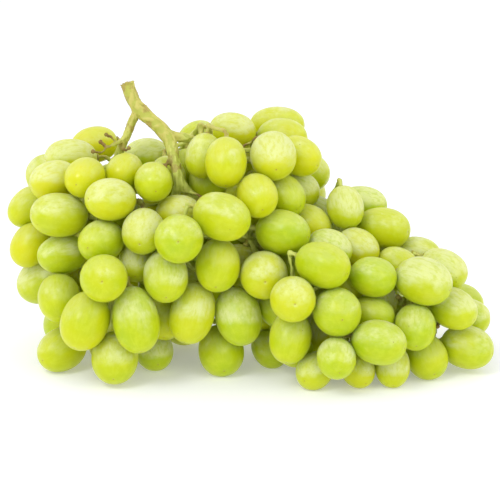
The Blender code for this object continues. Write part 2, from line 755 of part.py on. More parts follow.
def berry_object(name, berries, index, material):
    """One berry: a ball stretched along its axis."""
    mesh = bmesh.new()
    bmesh.ops.create_icosphere(mesh, subdivisions=2, radius=1.0)
    width = berries.half_widths[index]
    bmesh.ops.scale(mesh, verts=mesh.verts, vec=(width, width, berries.half_lengths[index]))
    item = new_object(name, mesh, material)
    item.matrix_world = Matrix.Translation(berries.middles[index]) @ turn_to(berries.axes[index]).to_4x4()
    return item


def neck_object(name, berries, first, second, material):
    """The short round neck that joins two berries where they touch."""
    start, end = neck_ends(berries, first, second, NECK_DEPTH)
    length = np.linalg.norm(end - start)
    mesh = bmesh.new()
    bmesh.ops.create_cone(
        mesh,
        cap_ends=True,
        cap_tris=True,
        segments=NECK_SIDES,
        radius1=NECK_RADIUS,
        radius2=NECK_RADIUS,
        depth=length,
    )
    item = new_object(name, mesh, material)
    turn = turn_to((end - start) / length).to_4x4()
    item.matrix_world = Matrix.Translation((start + end) / 2.0) @ turn
    return item


def build_berries(berries, stalks, material):
    """One node for each group of neighbouring berries, named by region and number of berries."""
    groups, necks = shared_nodes(berries, stalks)
    kinds = {1: "berry", 2: "pair", 3: "trio"}
    counts = {}
    for key in sorted(groups):
        members = groups[key]
        stem = f"{berries.regions[key]}_{kinds[len(members)]}"
        counts[stem] = counts.get(stem, 0) + 1
        name = f"{stem}_{counts[stem]}"
        node = berry_object(name, berries, members[0], material)
        for number, member in enumerate(members[1:], start=2):
            joined = berry_object(f"{name}_joined_{number}", berries, member, material)
            join_to(node, joined, f"berry {number}")
        own_necks = [(first, second) for owner, first, second in necks if owner == key]
        for number, (first, second) in enumerate(own_necks, start=1):
            neck = neck_object(f"{name}_neck_{number}", berries, first, second, material)
            join_to(node, neck, f"neck {number}")


def tube_mesh(points, radii, sides):
    """A closed round tube through points, with a radius at each."""
    mesh = bmesh.new()
    points = [Vector(point) for point in points]
    side = None
    rings = []
    for index, point in enumerate(points):
        before = points[max(index - 1, 0)]
        after = points[min(index + 1, len(points) - 1)]
        along = (after - before).normalized()
        if side is None:
            side = along.orthogonal().normalized()
        side = (side - along * side.dot(along)).normalized()
        up = along.cross(side)
        ring = []
        for number in range(sides):
            angle = 2.0 * math.pi * number / sides
            offset = side * math.cos(angle) + up * math.sin(angle)
            ring.append(mesh.verts.new(point + offset * radii[index]))
        rings.append(ring)
    for low, high in zip(rings[:-1], rings[1:]):
        for number in range(sides):
            following = (number + 1) % sides
            mesh.faces.new((low[number], low[following], high[following], high[number]))
    mesh.faces.new(reversed(rings[0]))
    mesh.faces.new(rings[-1])
    return mesh


def ball_mesh(middle, radius):
    """The knot where pedicels meet."""
    mesh = bmesh.new()
    bmesh.ops.create_icosphere(mesh, subdivisions=1, radius=radius)
    bmesh.ops.translate(mesh, verts=mesh.verts, vec=middle)
    return mesh


def smooth_path(points, radii, step):
    """A curve through the points with a point about every step, and its radii."""
    curve_points, curve_radii = [points[0]], [radii[0]]
    padded = [2 * points[0] - points[1], *points, 2 * points[-1] - points[-2]]
    for index in range(len(points) - 1):
        p0, p1, p2, p3 = padded[index : index + 4]
        pieces = max(1, round(float(np.linalg.norm(p2 - p1)) / step))
        for piece in range(1, pieces + 1):
            t = piece / pieces
            bend = 2 * p1 + (p2 - p0) * t
            bend = bend + (2 * p0 - 5 * p1 + 4 * p2 - p3) * t**2 + (3 * p1 - p0 - 3 * p2 + p3) * t**3
            curve_points.append(bend / 2)
            curve_radii.append(radii[index] * (1 - t) + radii[index + 1] * t)
    return curve_points, curve_radii


def build_stem(berries, stalks, material):
    """The stem as one node: every stalk and pedicel joined by one union."""
    operands = bpy.data.collections.new("stem stretches")
    bpy.context.scene.collection.children.link(operands)
    tubes = []
    for number, (points, radii) in enumerate(stalks.listed):
        tubes.append(tube_mesh(points, radii, STALK_SIDES if number == 0 else BRANCH_SIDES))
    for points, radii in stalks.bare:
        tubes.append(tube_mesh(points, radii, BARE_SIDES))
    knots = berries.stalk_ends(PEDICEL_STRAIGHT)
    poles = berries.stalk_ends(TOUCH_GAP)
    tree = np.concatenate((knots, stalks.roots))
    thickness = stalks.pedicel_radii()
    for index, knot in enumerate(knots):
        joint = tree[stalks.parents[index]]
        onward = (joint - knot) / np.linalg.norm(joint - knot)
        if -(onward @ berries.axes[index]) > SHARPEST_KNOT:
            radii = (PEDICEL_RADIUS, thickness[index], thickness[index])
            tubes.append(tube_mesh((poles[index], knot, joint), radii, PEDICEL_SIDES))
            continue
        tubes.append(tube_mesh((poles[index], knot), (PEDICEL_RADIUS, PEDICEL_RADIUS), PEDICEL_SIDES))
        tubes.append(tube_mesh((knot, joint), (thickness[index], thickness[index]), PEDICEL_SIDES))
        tubes.append(ball_mesh(knot, KNOT_SWELL * thickness[index]))
    node = new_object("stem", tubes[0], material)
    for number, mesh in enumerate(tubes[1:], start=1):
        item = new_object(f"stem_stretch_{number}", mesh, material)
        bpy.context.scene.collection.objects.unlink(item)
        operands.objects.link(item)
        hide(item)
    union = node.modifiers.new("grown together", "BOOLEAN")
    union.operation = "UNION"
    union.solver = "EXACT"
    union.operand_type = "COLLECTION"
    union.collection = operands


def centre_bunch(berries, stalks):
    """Moves everything so that the origin is at the bottom centre of the bunch's box."""
    corners = unit_berry_corners()
    lows, highs = [], []
    for index in range(len(berries.middles)):
        width = berries.half_widths[index]
        size = np.array((width, width, berries.half_lengths[index]))
        turned = (corners * size) @ np.array(turn_to(berries.axes[index])).T + berries.middles[index]
        lows.append(turned.min(axis=0))
        highs.append(turned.max(axis=0))
    low = np.min(lows, axis=0)
    high = np.max(highs, axis=0)
    offset = np.array(((low[0] + high[0]) / 2, (low[1] + high[1]) / 2, low[2]))
    berries.middles -= offset
    stalks.starts = stalks.starts - offset
    stalks.ends = stalks.ends - offset
    stalks.roots = stalks.roots - offset
    stalks.listed = [(points - offset, radii) for points, radii in stalks.listed]
    stalks.bare = [(points - offset, radii) for points, radii in stalks.bare]


def fill_bunch(berries):
    """Covers the back and underside, then fills the middle, more loosely in a bigger bunch."""
    looseness = float(np.prod(stretch())) ** (1.0 / 3.0)
    fill_places(berries, lobe_places(1.0, BACK_START), BACK_SPACING * BERRY_WIDTH * looseness)
    fill_places(berries, lobe_places(CORE_SHELL, CORE_START), CORE_SPACING * BERRY_WIDTH * looseness)


def clear_scene():
    for item in list(bpy.data.objects):
        bpy.data.objects.remove(item, do_unlink=True)


def plain_material(name, colour, roughness):
    material = bpy.data.materials.new(name)
    material.use_nodes = True
    shader = material.node_tree.nodes["Principled BSDF"]
    shader.inputs["Base Color"].default_value = colour
    shader.inputs["Roughness"].default_value = roughness
    shader.inputs["Metallic"].default_value = 0.0
    return material


def main():
    clear_scene()
    berries = Berries()
    add_shown_berries(berries)
    fill_bunch(berries)
    berries.finish()
    stalks = Stalks()
    settle(berries, stalks)
    centre_bunch(berries, stalks)
    build_berries(berries, stalks, plain_material("grape skin", GREEN_SKIN, 0.35))
    build_stem(berries, stalks, plain_material("green wood", GREEN_WOOD, 0.6))


main()
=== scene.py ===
"""Finished looks of a bunch of large green table grapes lying on its side.

Every berry is rebuilt, smooth and full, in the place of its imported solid, and the stem gets its ridges,
its cut end, its dried pedicels and the collars that its berries hang from.
"""

import logging
import math
from dataclasses import dataclass, field
from enum import Enum

import bpy
import numpy as np
from mathutils import Matrix, Vector
from mathutils.bvhtree import BVHTree


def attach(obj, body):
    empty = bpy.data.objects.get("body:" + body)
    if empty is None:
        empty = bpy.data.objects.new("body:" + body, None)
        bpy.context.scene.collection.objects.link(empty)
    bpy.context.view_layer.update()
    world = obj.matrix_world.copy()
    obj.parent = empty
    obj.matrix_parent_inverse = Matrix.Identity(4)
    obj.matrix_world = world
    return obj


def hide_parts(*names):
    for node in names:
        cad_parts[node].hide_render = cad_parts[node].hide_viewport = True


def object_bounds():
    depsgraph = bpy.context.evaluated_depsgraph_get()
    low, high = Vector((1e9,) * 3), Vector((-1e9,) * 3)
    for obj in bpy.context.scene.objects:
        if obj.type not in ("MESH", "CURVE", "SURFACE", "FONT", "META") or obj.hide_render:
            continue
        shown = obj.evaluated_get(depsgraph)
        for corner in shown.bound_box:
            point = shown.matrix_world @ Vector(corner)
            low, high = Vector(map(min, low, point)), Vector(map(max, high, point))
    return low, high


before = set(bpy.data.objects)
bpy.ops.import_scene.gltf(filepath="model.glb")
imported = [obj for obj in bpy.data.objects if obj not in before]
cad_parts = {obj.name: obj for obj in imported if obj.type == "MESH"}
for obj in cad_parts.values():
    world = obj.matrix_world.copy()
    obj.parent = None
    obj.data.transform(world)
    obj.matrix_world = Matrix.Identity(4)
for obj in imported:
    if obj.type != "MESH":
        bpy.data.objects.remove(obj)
CAD_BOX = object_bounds()

LOG = logging.getLogger("grapes")
MM = 0.001
MICRONS = 1e6  # in a metre
WHITE = (1.0, 1.0, 1.0, 1.0)
SEED = 11

Colour = tuple[float, float, float, float]
Place = tuple[float, float, float]
Array = np.ndarray
Item = bpy.types.Object
Material = bpy.types.Material
Mesh = bpy.types.Mesh
Node = bpy.types.Node
Socket = bpy.types.NodeSocket
Tree = bpy.types.NodeTree

SOCKET_KINDS = {
    int: "NodeSocketInt",
    float: "NodeSocketFloat",
    tuple: "NodeSocketVector",
    Material: "NodeSocketMaterial",
}


class Count(Enum):
    """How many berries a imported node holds, as the middle word of its name says."""

    BERRY = 1
    PAIR = 2
    TRIO = 3


class Slot(Enum):
    """The record's material slots."""

    SKIN = "grape_skin"
    STEM = "green_stem"


# ---------------------------------------------------------------- wiring of node trees


class Wiring:
    """Adds nodes to a shader or geometry tree and joins them."""

    def __init__(self, tree: Tree) -> None:
        """Works on one tree."""
        self.tree = tree

    def add(self, kind: str, inputs: dict | None = None, **settings: object) -> Node:
        """Adds a node.

        Args:
            kind: The node's type.
            inputs: Values or sockets for its inputs, by name or number.
            **settings: The node's own properties.

        Returns:
            The node.
        """
        node = self.tree.nodes.new(kind)
        for name, value in settings.items():
            setattr(node, name, value)
        self.fill(node, inputs or {})
        return node

    def fill(self, node: Node, inputs: dict) -> None:
        """Joins a node's inputs to sockets, or sets their values, by name or number."""
        for name, value in inputs.items():
            socket = live(node.inputs, name)
            if isinstance(value, Socket):
                self.tree.links.new(value, socket)
            else:
                socket.default_value = value

    def math(self, operation: str, *values: object, clamp: bool = False) -> Socket:
        """A Math node's result."""
        node = self.add("ShaderNodeMath", dict(enumerate(values)), operation=operation, use_clamp=clamp)
        return node.outputs[0]

    def times(self, first: object, second: object) -> Socket:
        """A product of two numbers."""
        return self.math("MULTIPLY", first, second)

    def plus(self, first: object, second: object, clamp: bool = False) -> Socket:
        """A sum of two numbers."""
        return self.math("ADD", first, second, clamp=clamp)

    def minus(self, first: object, second: object, clamp: bool = False) -> Socket:
        """A difference of two numbers."""
        return self.math("SUBTRACT", first, second, clamp=clamp)

    def vector(self, operation: str, *values: object) -> Socket:
        """A Vector Math node's result, a vector or, for lengths and products, a number."""
        node = self.add("ShaderNodeVectorMath", dict(enumerate(values)), operation=operation)
        return live(node.outputs, "Value" if operation in ("LENGTH", "DOT_PRODUCT") else "Vector")

    def scaled(self, vector: object, scale: object) -> Socket:
        """A vector times a number."""
        node = self.add("ShaderNodeVectorMath", operation="SCALE")
        self.fill(node, {0: vector, "Scale": scale})
        return live(node.outputs, "Vector")

    def combine(self, x: object, y: object, z: object) -> Socket:
        """A vector from three numbers."""
        return self.add("ShaderNodeCombineXYZ", {0: x, 1: y, 2: z}).outputs[0]

    def split(self, vector: Socket) -> list[Socket]:
        """The three numbers of a vector."""
        return list(self.add("ShaderNodeSeparateXYZ", {0: vector}).outputs)

    def mix(self, share: object, first: object, second: object) -> Socket:
        """A colour between two colours."""
        return self.add("ShaderNodeMix", {0: share, 6: first, 7: second}, data_type="RGBA").outputs[2]

    def over(self, below: object, above: object, mask: object, share: float) -> Socket:
        """A colour laid over another where a mask says, by no more than this share."""
        return self.mix(self.times(mask, share), below, above)

    def between(self, share: object, low: object, high: object) -> Socket:
        """A number between two numbers."""
        return self.add("ShaderNodeMix", {0: share, 2: low, 3: high}, data_type="FLOAT").outputs[0]

    def ramp(self, value: object, low: float, high: float, start: float = 0.0, end: float = 1.0) -> Socket:
        """A number eased from start to end as the value goes from low to high."""
        inputs = {"Value": value, "From Min": low, "From Max": high, "To Min": start, "To Max": end}
        return self.add("ShaderNodeMapRange", inputs, interpolation_type="SMOOTHSTEP").outputs[0]

    def noise(self, vector: object, scale: object, detail: float = 2.0, roughness: float = 0.5) -> Socket:
        """Soft noise between 0 and 1."""
        inputs = {"Vector": vector, "Scale": scale, "Detail": detail, "Roughness": roughness}
        return self.add("ShaderNodeTexNoise", inputs).outputs[0]

    def drift(self, vector: object, scale: object, detail: float = 2.0) -> Socket:
        """Soft noise between -0.5 and 0.5."""
        return self.minus(self.noise(vector, scale, detail), 0.5)

    def bump(self, height: Socket, strength: float, distance: float) -> Socket:
        """Normals that a height bends."""
        inputs = {"Height": height, "Strength": strength, "Distance": distance}
        return self.add("ShaderNodeBump", inputs).outputs[0]

    def attribute(self, name: str, output: str = "Fac") -> Socket:
        """A mesh attribute inside a material."""
        return self.add("ShaderNodeAttribute", attribute_name=name, attribute_type="GEOMETRY").outputs[output]

    def named(self, name: str, kind: str = "FLOAT") -> Socket:
        """A named attribute inside a geometry tree."""
        node = self.add("GeometryNodeInputNamedAttribute", {"Name": name}, data_type=kind)
        return live(node.outputs, "Attribute")

    def here(self, what: str = "Position") -> Socket:
        """Each corner's own position or normal inside a geometry tree."""
        return self.add(f"GeometryNodeInput{what}").outputs[0]

    def facing(self, direction: Socket) -> Socket:
        """The turn that points a piece's z along a direction."""
        return self.add("FunctionNodeAlignRotationToVector", {"Vector": direction}, axis="Z").outputs[0]

    def ball(self, segments: object, rings: object) -> Socket:
        """A unit ball."""
        inputs = {"Segments": segments, "Rings": rings, "Radius": 1.0}
        return self.add("GeometryNodeMeshUVSphere", inputs).outputs[0]

    def copies(self, points: Socket, piece: Socket, turn: Socket, scale: Socket) -> Socket:
        """A copy of a piece on every point, made real."""
        inputs = {"Points": points, "Instance": piece, "Rotation": turn, "Scale": scale}
        placed = self.add("GeometryNodeInstanceOnPoints", inputs).outputs[0]
        return self.add("GeometryNodeRealizeInstances", {"Geometry": placed}).outputs[0]

    def moved(self, geometry: Socket, **move: Socket) -> Socket:
        """Geometry with its corners at a Position, or moved by an Offset."""
        return self.add("GeometryNodeSetPosition", {"Geometry": geometry, **move}).outputs[0]

    def stored(self, geometry: Socket, name: str, value: object, kind: str = "FLOAT") -> Socket:
        """Geometry with a value kept at each corner under a name."""
        inputs = {"Geometry": geometry, "Name": name, "Value": value}
        return self.add("GeometryNodeStoreNamedAttribute", inputs, data_type=kind, domain="POINT").outputs[0]

    def dress(self, geometry: Socket, material: Socket) -> None:
        """Ends a geometry tree: its shape shaded smooth, in its material."""
        smooth = self.add("GeometryNodeSetShadeSmooth", {"Geometry": geometry}).outputs[0]
        dressed = self.add("GeometryNodeSetMaterial", {"Geometry": smooth, "Material": material}).outputs[0]
        self.add("NodeGroupOutput", {"Geometry": dressed})


def live(sockets: object, name: str | int) -> Socket:
    """The enabled socket of this name, or the one with this number."""
    if isinstance(name, int):
        return sockets[name]
    return next(socket for socket in sockets if socket.name == name and socket.enabled)


def new_group(name: str, output: str, **inputs: object) -> tuple[Tree, Wiring, object]:
    """An empty shader group that gives one number.

    Args:
        name: Its name.
        output: Its output's name.
        **inputs: Its inputs, a number or a vector by name.

    Returns:
        The group, its net and the sockets of its inputs.
    """
    group = bpy.data.node_groups.new(name, "ShaderNodeTree")
    for label, value in inputs.items():
        kind = SOCKET_KINDS[type(value)]
        group.interface.new_socket(label, in_out="INPUT", socket_type=kind).default_value = value
    group.interface.new_socket(output, in_out="OUTPUT", socket_type="NodeSocketFloat")
    net = Wiring(group)
    return group, net, net.add("NodeGroupInput").outputs


class Effects:
    """Shader groups that more than one finish uses, built once each."""

    def __init__(self) -> None:
        """Builds every group."""
        self.specks = self._specks()
        self.patches = self._patches()
        self.pores = self._pores()

    def _specks(self) -> Tree:
        """Small round specks, strewn unevenly."""
        inputs = {"Place": (0.0, 0.0, 0.0), "Scale": 900.0, "Size": 0.25, "Share": 0.5}
        group, net, source = new_group("specks", "Mask", **inputs)
        warp = net.add("ShaderNodeTexNoise", {"Vector": source["Place"], "Scale": source["Scale"]})
        shift = net.scaled(net.vector("SUBTRACT", warp.outputs[1], (0.5, 0.5, 0.5)), 0.6 * MM)
        place = net.vector("ADD", source["Place"], shift)
        cells = net.add("ShaderNodeTexVoronoi", {"Vector": place, "Scale": source["Scale"]}).outputs
        dot = net.math("LESS_THAN", cells["Distance"], source["Size"])
        near = net.math("DIVIDE", cells["Distance"], source["Size"])
        soft = net.minus(1.0, net.times(near, near), clamp=True)
        kept = net.math("LESS_THAN", net.split(cells["Color"])[0], source["Share"])
        net.add("NodeGroupOutput", {"Mask": net.times(net.times(dot, soft), kept)})
        return group

    def _patches(self) -> Tree:
        """Large soft patches broken up by fine grain, as a waxy bloom or dried bark wears."""
        inputs = {"Place": (0.0, 0.0, 0.0), "Scale": 90.0, "Amount": 0.5, "Grain": 0.4}
        group, net, source = new_group("patches", "Mask", **inputs)
        broad = net.noise(source["Place"], source["Scale"], 3.0, 0.6)
        fine = net.noise(source["Place"], net.times(source["Scale"], 24.0), 3.0, 0.7)
        level = net.plus(broad, net.minus(source["Amount"], 0.5))
        soft = net.ramp(level, 0.36, 0.66)
        rough = net.times(net.minus(fine, 0.5), source["Grain"])
        broken = net.plus(soft, net.times(rough, net.times(soft, 3.0)), clamp=True)
        net.add("NodeGroupOutput", {"Mask": broken})
        return group

    def _pores(self) -> Tree:
        """Height of fine pores and wrinkles."""
        group, net, source = new_group("pores", "Height", Place=(0.0, 0.0, 0.0), Scale=2500.0)
        fine = net.noise(source["Place"], source["Scale"], 2.0, 0.6)
        broad = net.noise(source["Place"], net.times(source["Scale"], 0.12), 2.0, 0.5)
        net.add("NodeGroupOutput", {"Height": net.plus(net.times(fine, 0.4), broad)})
        return group


def use(net: Wiring, group: Tree, **inputs: object) -> Socket:
    """Places a shader group in a material and returns its output."""
    return net.add("ShaderNodeGroup", inputs, node_tree=group).outputs[0]


def new_material(name: str) -> tuple[Material, Wiring, Node]:
    """A material with its net and its Principled shader."""
    material = bpy.data.materials.new(name)
    material.use_nodes = True
    return material, Wiring(material.node_tree), material.node_tree.nodes["Principled BSDF"]


# ---------------------------------------------------------------- finishes


@dataclass(frozen=True)
class SkinFinish:
    """Thin waxy skin over clear flesh. Each share is how far its colour covers the one below."""

    green: Colour = (0.41, 0.54, 0.002, 1.0)
    yellow: Colour = (0.64, 0.63, 0.002, 1.0)
    pale: Colour = (0.66, 0.73, 0.05, 1.0)
    # pale bloom colour, which also paints a highlight on the upward faces
    bloom: Colour = (0.70, 0.74, 0.38, 1.0)
    brown: Colour = (0.20, 0.10, 0.02, 1.0)
    tan: Colour = (0.55, 0.44, 0.08, 1.0)
    sheen: Colour = (0.92, 1.0, 0.22, 1.0)
    glow: float = 0.85
    glow_depth: float = 11.0 * MM
    glow_tint: Place = (1.0, 1.0, 0.12)
    relief: float = 0.12 * MM
    vein_share: float = 0.16
    mottle_share: float = 0.30
    bloom_and_highlight_share: float = 0.84
    prick_share: float = 0.22
    mark_share: float = 0.75
    pale_ring_share: float = 0.6
    tan_ring_share: float = 0.35
    scar_share: float = 0.42

    def build(self, effects: Effects) -> Material:
        """Builds the material.

        Args:
            effects: The shared shader groups.

        Returns:
            The skin material.
        """
        material, net, shader = new_material("grape skin")
        where = net.add("ShaderNodeTexCoord").outputs["Object"]
        spot = net.attribute("skin_place", "Vector")
        x, y, z = net.split(spot)
        off_axis = net.vector("LENGTH", net.combine(x, y, 0.0))

        flesh = net.mix(self._yellow_share(net, where), self.green, self.yellow)
        veined = net.mix(self._veins(net, spot, off_axis), flesh, self.pale)
        mottled = net.mix(self._mottle(net, where), veined, self.pale)
        bloom_and_highlight = self._bloom_and_highlight(net, effects, where, spot)
        # pale waxy bloom together with a painted highlight on the upward faces
        bloomed = net.over(mottled, self.bloom, bloom_and_highlight, self.bloom_and_highlight_share)
        pricks = use(net, effects.specks, Place=where, Scale=1100.0, Size=0.28, Share=0.35)
        pricked = net.over(bloomed, self.pale, pricks, self.prick_share)
        marks = use(net, effects.specks, Place=where, Scale=260.0, Size=0.085, Share=0.10)
        marked = net.over(pricked, self.brown, marks, self.mark_share)
        pores = use(net, effects.pores, Place=where, Scale=2200.0)
        height = net.plus(pores, net.times(bloom_and_highlight, 0.5))
        values = {
            "Base Color": self._ends(net, marked, z, off_axis),
            "Roughness": net.between(bloom_and_highlight, 0.30, 0.46),
            "Coat Weight": net.between(bloom_and_highlight, 0.20, 0.03),
            "Coat Roughness": 0.12,
            "IOR": 1.36,
            "Specular IOR Level": 0.32,
            "Sheen Weight": 0.22,
            "Sheen Roughness": 0.30,
            "Sheen Tint": self.sheen,
            "Subsurface Weight": self.glow,
            "Subsurface Scale": self.glow_depth,
            "Subsurface Radius": self.glow_tint,
            "Normal": net.bump(height, 0.16, self.relief),
        }
        net.fill(shader, values)
        return material

    def _yellow_share(self, net: Wiring, where: Socket) -> Socket:
        """How yellow the flesh is: by berry, with painted light yellowing the left and top of the bunch, and
        drifting across each.
        """
        drift = net.times(net.drift(where, 70.0), 0.9)
        return net.plus(net.attribute("ripeness_and_light"), drift, clamp=True)

    def _bloom_and_highlight(self, net: Wiring, effects: Effects, where: Socket, spot: Socket) -> Socket:
        """The waxy bloom and a painted highlight: paler and thicker on what faces up, rubbed off in streaks
        from the stalk end to the tip.
        """
        amount = net.attribute("bloom")
        patches = use(net, effects.patches, Place=where, Scale=120.0, Amount=amount, Grain=0.5)
        uneven = net.plus(net.drift(where, 110.0), net.minus(amount, 0.5))
        # painted highlight: the pale cover grows where the skin faces up toward the lamps and thins on the
        # undersides
        cover = net.ramp(net.plus(net.attribute("skyward"), uneven), 0.02, 0.50, 0.04, 1.0)
        held = net.times(cover, net.between(patches, 0.30, 1.0))
        seed = net.attribute("berry_seed")
        lengthwise = net.vector("MULTIPLY", spot, (1.0, 1.0, 0.35))
        place = net.vector("ADD", lengthwise, net.combine(seed, 0.0, seed))
        streak = net.noise(place, 6.5, 3.0, 0.65)
        return net.times(held, net.ramp(streak, 0.44, 0.70, 1.0, 0.45))

    def _veins(self, net: Wiring, spot: Socket, off_axis: Socket) -> Socket:
        """Faint lines that run from the stalk end to the tip."""
        around = net.vector("NORMALIZE", net.vector("MULTIPLY", spot, (1.0, 1.0, 0.0)))
        along = net.vector("MULTIPLY", spot, (0.0, 0.0, 0.35))
        seed = net.attribute("berry_seed")
        place = net.vector("ADD", net.vector("ADD", around, along), net.combine(seed, seed, 0.0))
        lines = net.ramp(net.noise(place, 7.0, 2.0, 0.55), 0.45, 0.75)
        return net.times(net.times(lines, net.ramp(off_axis, 0.15, 0.5)), self.vein_share)

    def _mottle(self, net: Wiring, where: Socket) -> Socket:
        """Small paler clouds in the flesh."""
        return net.times(net.ramp(net.noise(where, 300.0, 3.0, 0.6), 0.40, 0.75), self.mottle_share)

    def _ends(self, net: Wiring, colour: Socket, z: Socket, off_axis: Socket) -> Socket:
        """The brown scar at the tip, its tan ring, and the pale ring round the stalk."""
        tip = net.math("GREATER_THAN", z, 0.0)
        stalk = net.minus(1.0, tip)
        for paint, start, end, side, share in (
            (self.pale, 0.34, 0.16, stalk, self.pale_ring_share),
            (self.tan, 0.075, 0.035, tip, self.tan_ring_share),
            (self.brown, 0.040, 0.022, tip, self.scar_share),
        ):
            ring = net.times(net.ramp(off_axis, start, end), side)
            colour = net.over(colour, paint, ring, share)
        return colour


@dataclass(frozen=True)
class StemFinish:
    """Green wood, ridged along its length with painted shade in its grooves, browner at the fork, the cut and
    where it has dried.
    """

    fresh: Colour = (0.64, 0.70, 0.16, 1.0)
    groove_shade: Colour = (0.40, 0.46, 0.04, 1.0)
    olive: Colour = (0.58, 0.53, 0.12, 1.0)
    russet: Colour = (0.36, 0.22, 0.05, 1.0)
    cut: Colour = (0.50, 0.44, 0.20, 1.0)
    dried: Colour = (0.27, 0.17, 0.045, 1.0)
    olive_from: float = 88.0 * MM
    olive_to: float = 112.0 * MM
    olive_drift: float = 50.0 * MM
    groove_shade_share: float = 0.6
    rust_share: float = 0.16
    tired_share: float = 0.6
    cork_share: float = 0.55
    glow: float = 0.12
    glow_depth: float = 1.2 * MM
    glow_tint: Place = (0.8, 1.0, 0.3)
    relief: float = 0.2 * MM

    def build(self, effects: Effects) -> Material:
        """Builds the material.

        Args:
            effects: The shared shader groups.

        Returns:
            The stem material.
        """
        material, net, shader = new_material("green stem")
        where = net.add("ShaderNodeTexCoord").outputs["Object"]
        names = ("grain", "cut", "dried", "knot", "worn")
        grain, cut, dried, knot, worn = (net.attribute(name) for name in names)

        drift = net.times(net.drift(where, 120.0), self.olive_drift)
        height = net.plus(net.split(where)[2], drift)
        wood = net.mix(net.ramp(height, self.olive_from, self.olive_to), self.fresh, self.olive)
        # painted shade: the furrows between the ridges are darkened in the colour
        ridged = net.over(wood, self.groove_shade, net.ramp(grain, 0.70, 0.2), self.groove_shade_share)
        rusty = use(net, effects.patches, Place=where, Scale=160.0, Amount=knot, Grain=0.5)
        tiredness = net.between(worn, -0.1, 0.62)
        tired = use(net, effects.patches, Place=where, Scale=330.0, Amount=tiredness, Grain=0.5)
        shares = net.times(rusty, self.rust_share), net.times(tired, self.tired_share)
        russet = net.mix(net.math("MAXIMUM", *shares), ridged, self.russet)
        corky = use(net, effects.specks, Place=where, Scale=620.0, Size=0.22, Share=0.30)
        specked = net.over(russet, self.russet, corky, self.cork_share)
        brown_share = net.times(dried, net.ramp(net.noise(where, 500.0), 0.2, 0.6, 0.65, 1.0))
        browned = net.mix(brown_share, specked, self.dried)
        pores = use(net, effects.pores, Place=where, Scale=3200.0)
        values = {
            "Base Color": net.mix(cut, browned, self.cut),
            "Roughness": net.between(dried, 0.52, 0.80),
            "Subsurface Weight": self.glow,
            "Subsurface Scale": self.glow_depth,
            "Subsurface Radius": self.glow_tint,
            "Normal": net.bump(net.plus(pores, net.times(corky, 1.5)), 0.45, self.relief),
        }
        net.fill(shader, values)
        return material


@dataclass(frozen=True)
class FloorFinish:
    """Plain white studio floor."""

    white: Colour = (0.84, 0.84, 0.92, 1.0)
    lift: float = 0.24

    def build(self) -> Material:
        """Builds the floor's material."""
        material, net, shader = new_material("studio floor")
        values = {
            "Base Color": self.white,
            "Roughness": 0.9,
            "Specular IOR Level": 0.1,
            "Emission Color": WHITE,
            "Emission Strength": self.lift,
        }
        net.fill(shader, values)
        return material


# ---------------------------------------------------------------- meshes


def linked(name: str, data: object) -> Item:
    """A new object with this data, in the scene."""
    item = bpy.data.objects.new(name, data)
    bpy.context.scene.collection.objects.link(item)
    return item


def mesh_object(name: str, points: Array, faces: Array) -> Item:
    """An object with this mesh, in the scene."""
    mesh = bpy.data.meshes.new(name)
    mesh.from_pydata(points.tolist(), [], faces.tolist())
    return linked(name, mesh)


def places_object(name: str, vectors: dict[str, list], numbers: dict[str, list[float]]) -> Item:
    """An object with a point for each place, which carries values for a geometry tree.

    Args:
        name: Its name.
        vectors: A vector for each point by attribute name, "middle" being the place itself.
        numbers: A number for each point by attribute name.

    Returns:
        The object.
    """
    item = mesh_object(name, np.array(vectors["middle"]), np.empty(0))
    for label, values in numbers.items():
        item.data.attributes.new(label, "FLOAT", "POINT").data.foreach_set("value", values)
    for label, values in vectors.items():
        layer = item.data.attributes.new(label, "FLOAT_VECTOR", "POINT")
        layer.data.foreach_set("vector", np.array(values, np.float32).ravel())
    return item


def growing_tree(name: str, values: dict[str, object]) -> tuple[Wiring, object]:
    """An empty geometry tree with named inputs.

    Args:
        name: Its name.
        values: Its inputs' values, which say what each socket holds.

    Returns:
        The tree's net and the sockets of its inputs.
    """
    tree = bpy.data.node_groups.new(name, "GeometryNodeTree")
    tree.interface.new_socket("Geometry", in_out="INPUT", socket_type="NodeSocketGeometry")
    for label, value in values.items():
        tree.interface.new_socket(label, in_out="INPUT", socket_type=SOCKET_KINDS[type(value)])
    tree.interface.new_socket("Geometry", in_out="OUTPUT", socket_type="NodeSocketGeometry")
    net = Wiring(tree)
    return net, net.add("NodeGroupInput").outputs


def grown(source: Item, tree: Tree, values: dict[str, object], name: str) -> Item:
    """Runs a geometry tree on an object and keeps the result as a plain mesh.

    Args:
        source: The object that the tree works on, which is removed.
        tree: The geometry tree.
        values: Its inputs by name.
        name: The name of the finished piece.

    Returns:
        The finished piece, at the origin.
    """
    modifier = source.modifiers.new("growth", "NODES")
    modifier.node_group = tree
    for item in tree.interface.items_tree:
        if item.in_out == "INPUT" and item.name in values:
            modifier[item.identifier] = values[item.name]
    return baked(source, name)


def baked(source: Item, name: str) -> Item:
    """Keeps an object's evaluated mesh as a new piece and removes the object."""
    bpy.context.view_layer.update()
    graph = bpy.context.evaluated_depsgraph_get()
    mesh = bpy.data.meshes.new_from_object(source.evaluated_get(graph), depsgraph=graph)
    mesh.name = name
    bpy.data.objects.remove(source)
    return linked(name, mesh)


def rows(elements: object, what: str, width: int, kind: type = float) -> Array:
    """One value of every element of a mesh, a row each."""
    values = np.empty(len(elements) * width, kind)
    elements.foreach_get(what, values)
    return values.reshape(-1, width)


def corners(mesh: Mesh) -> Array:
    """A mesh's corners by xyz."""
    return rows(mesh.vertices, "co", 3)


def place(mesh: Mesh, points: Array) -> None:
    """Moves a mesh's corners."""
    mesh.vertices.foreach_set("co", points.ravel())
    mesh.update()


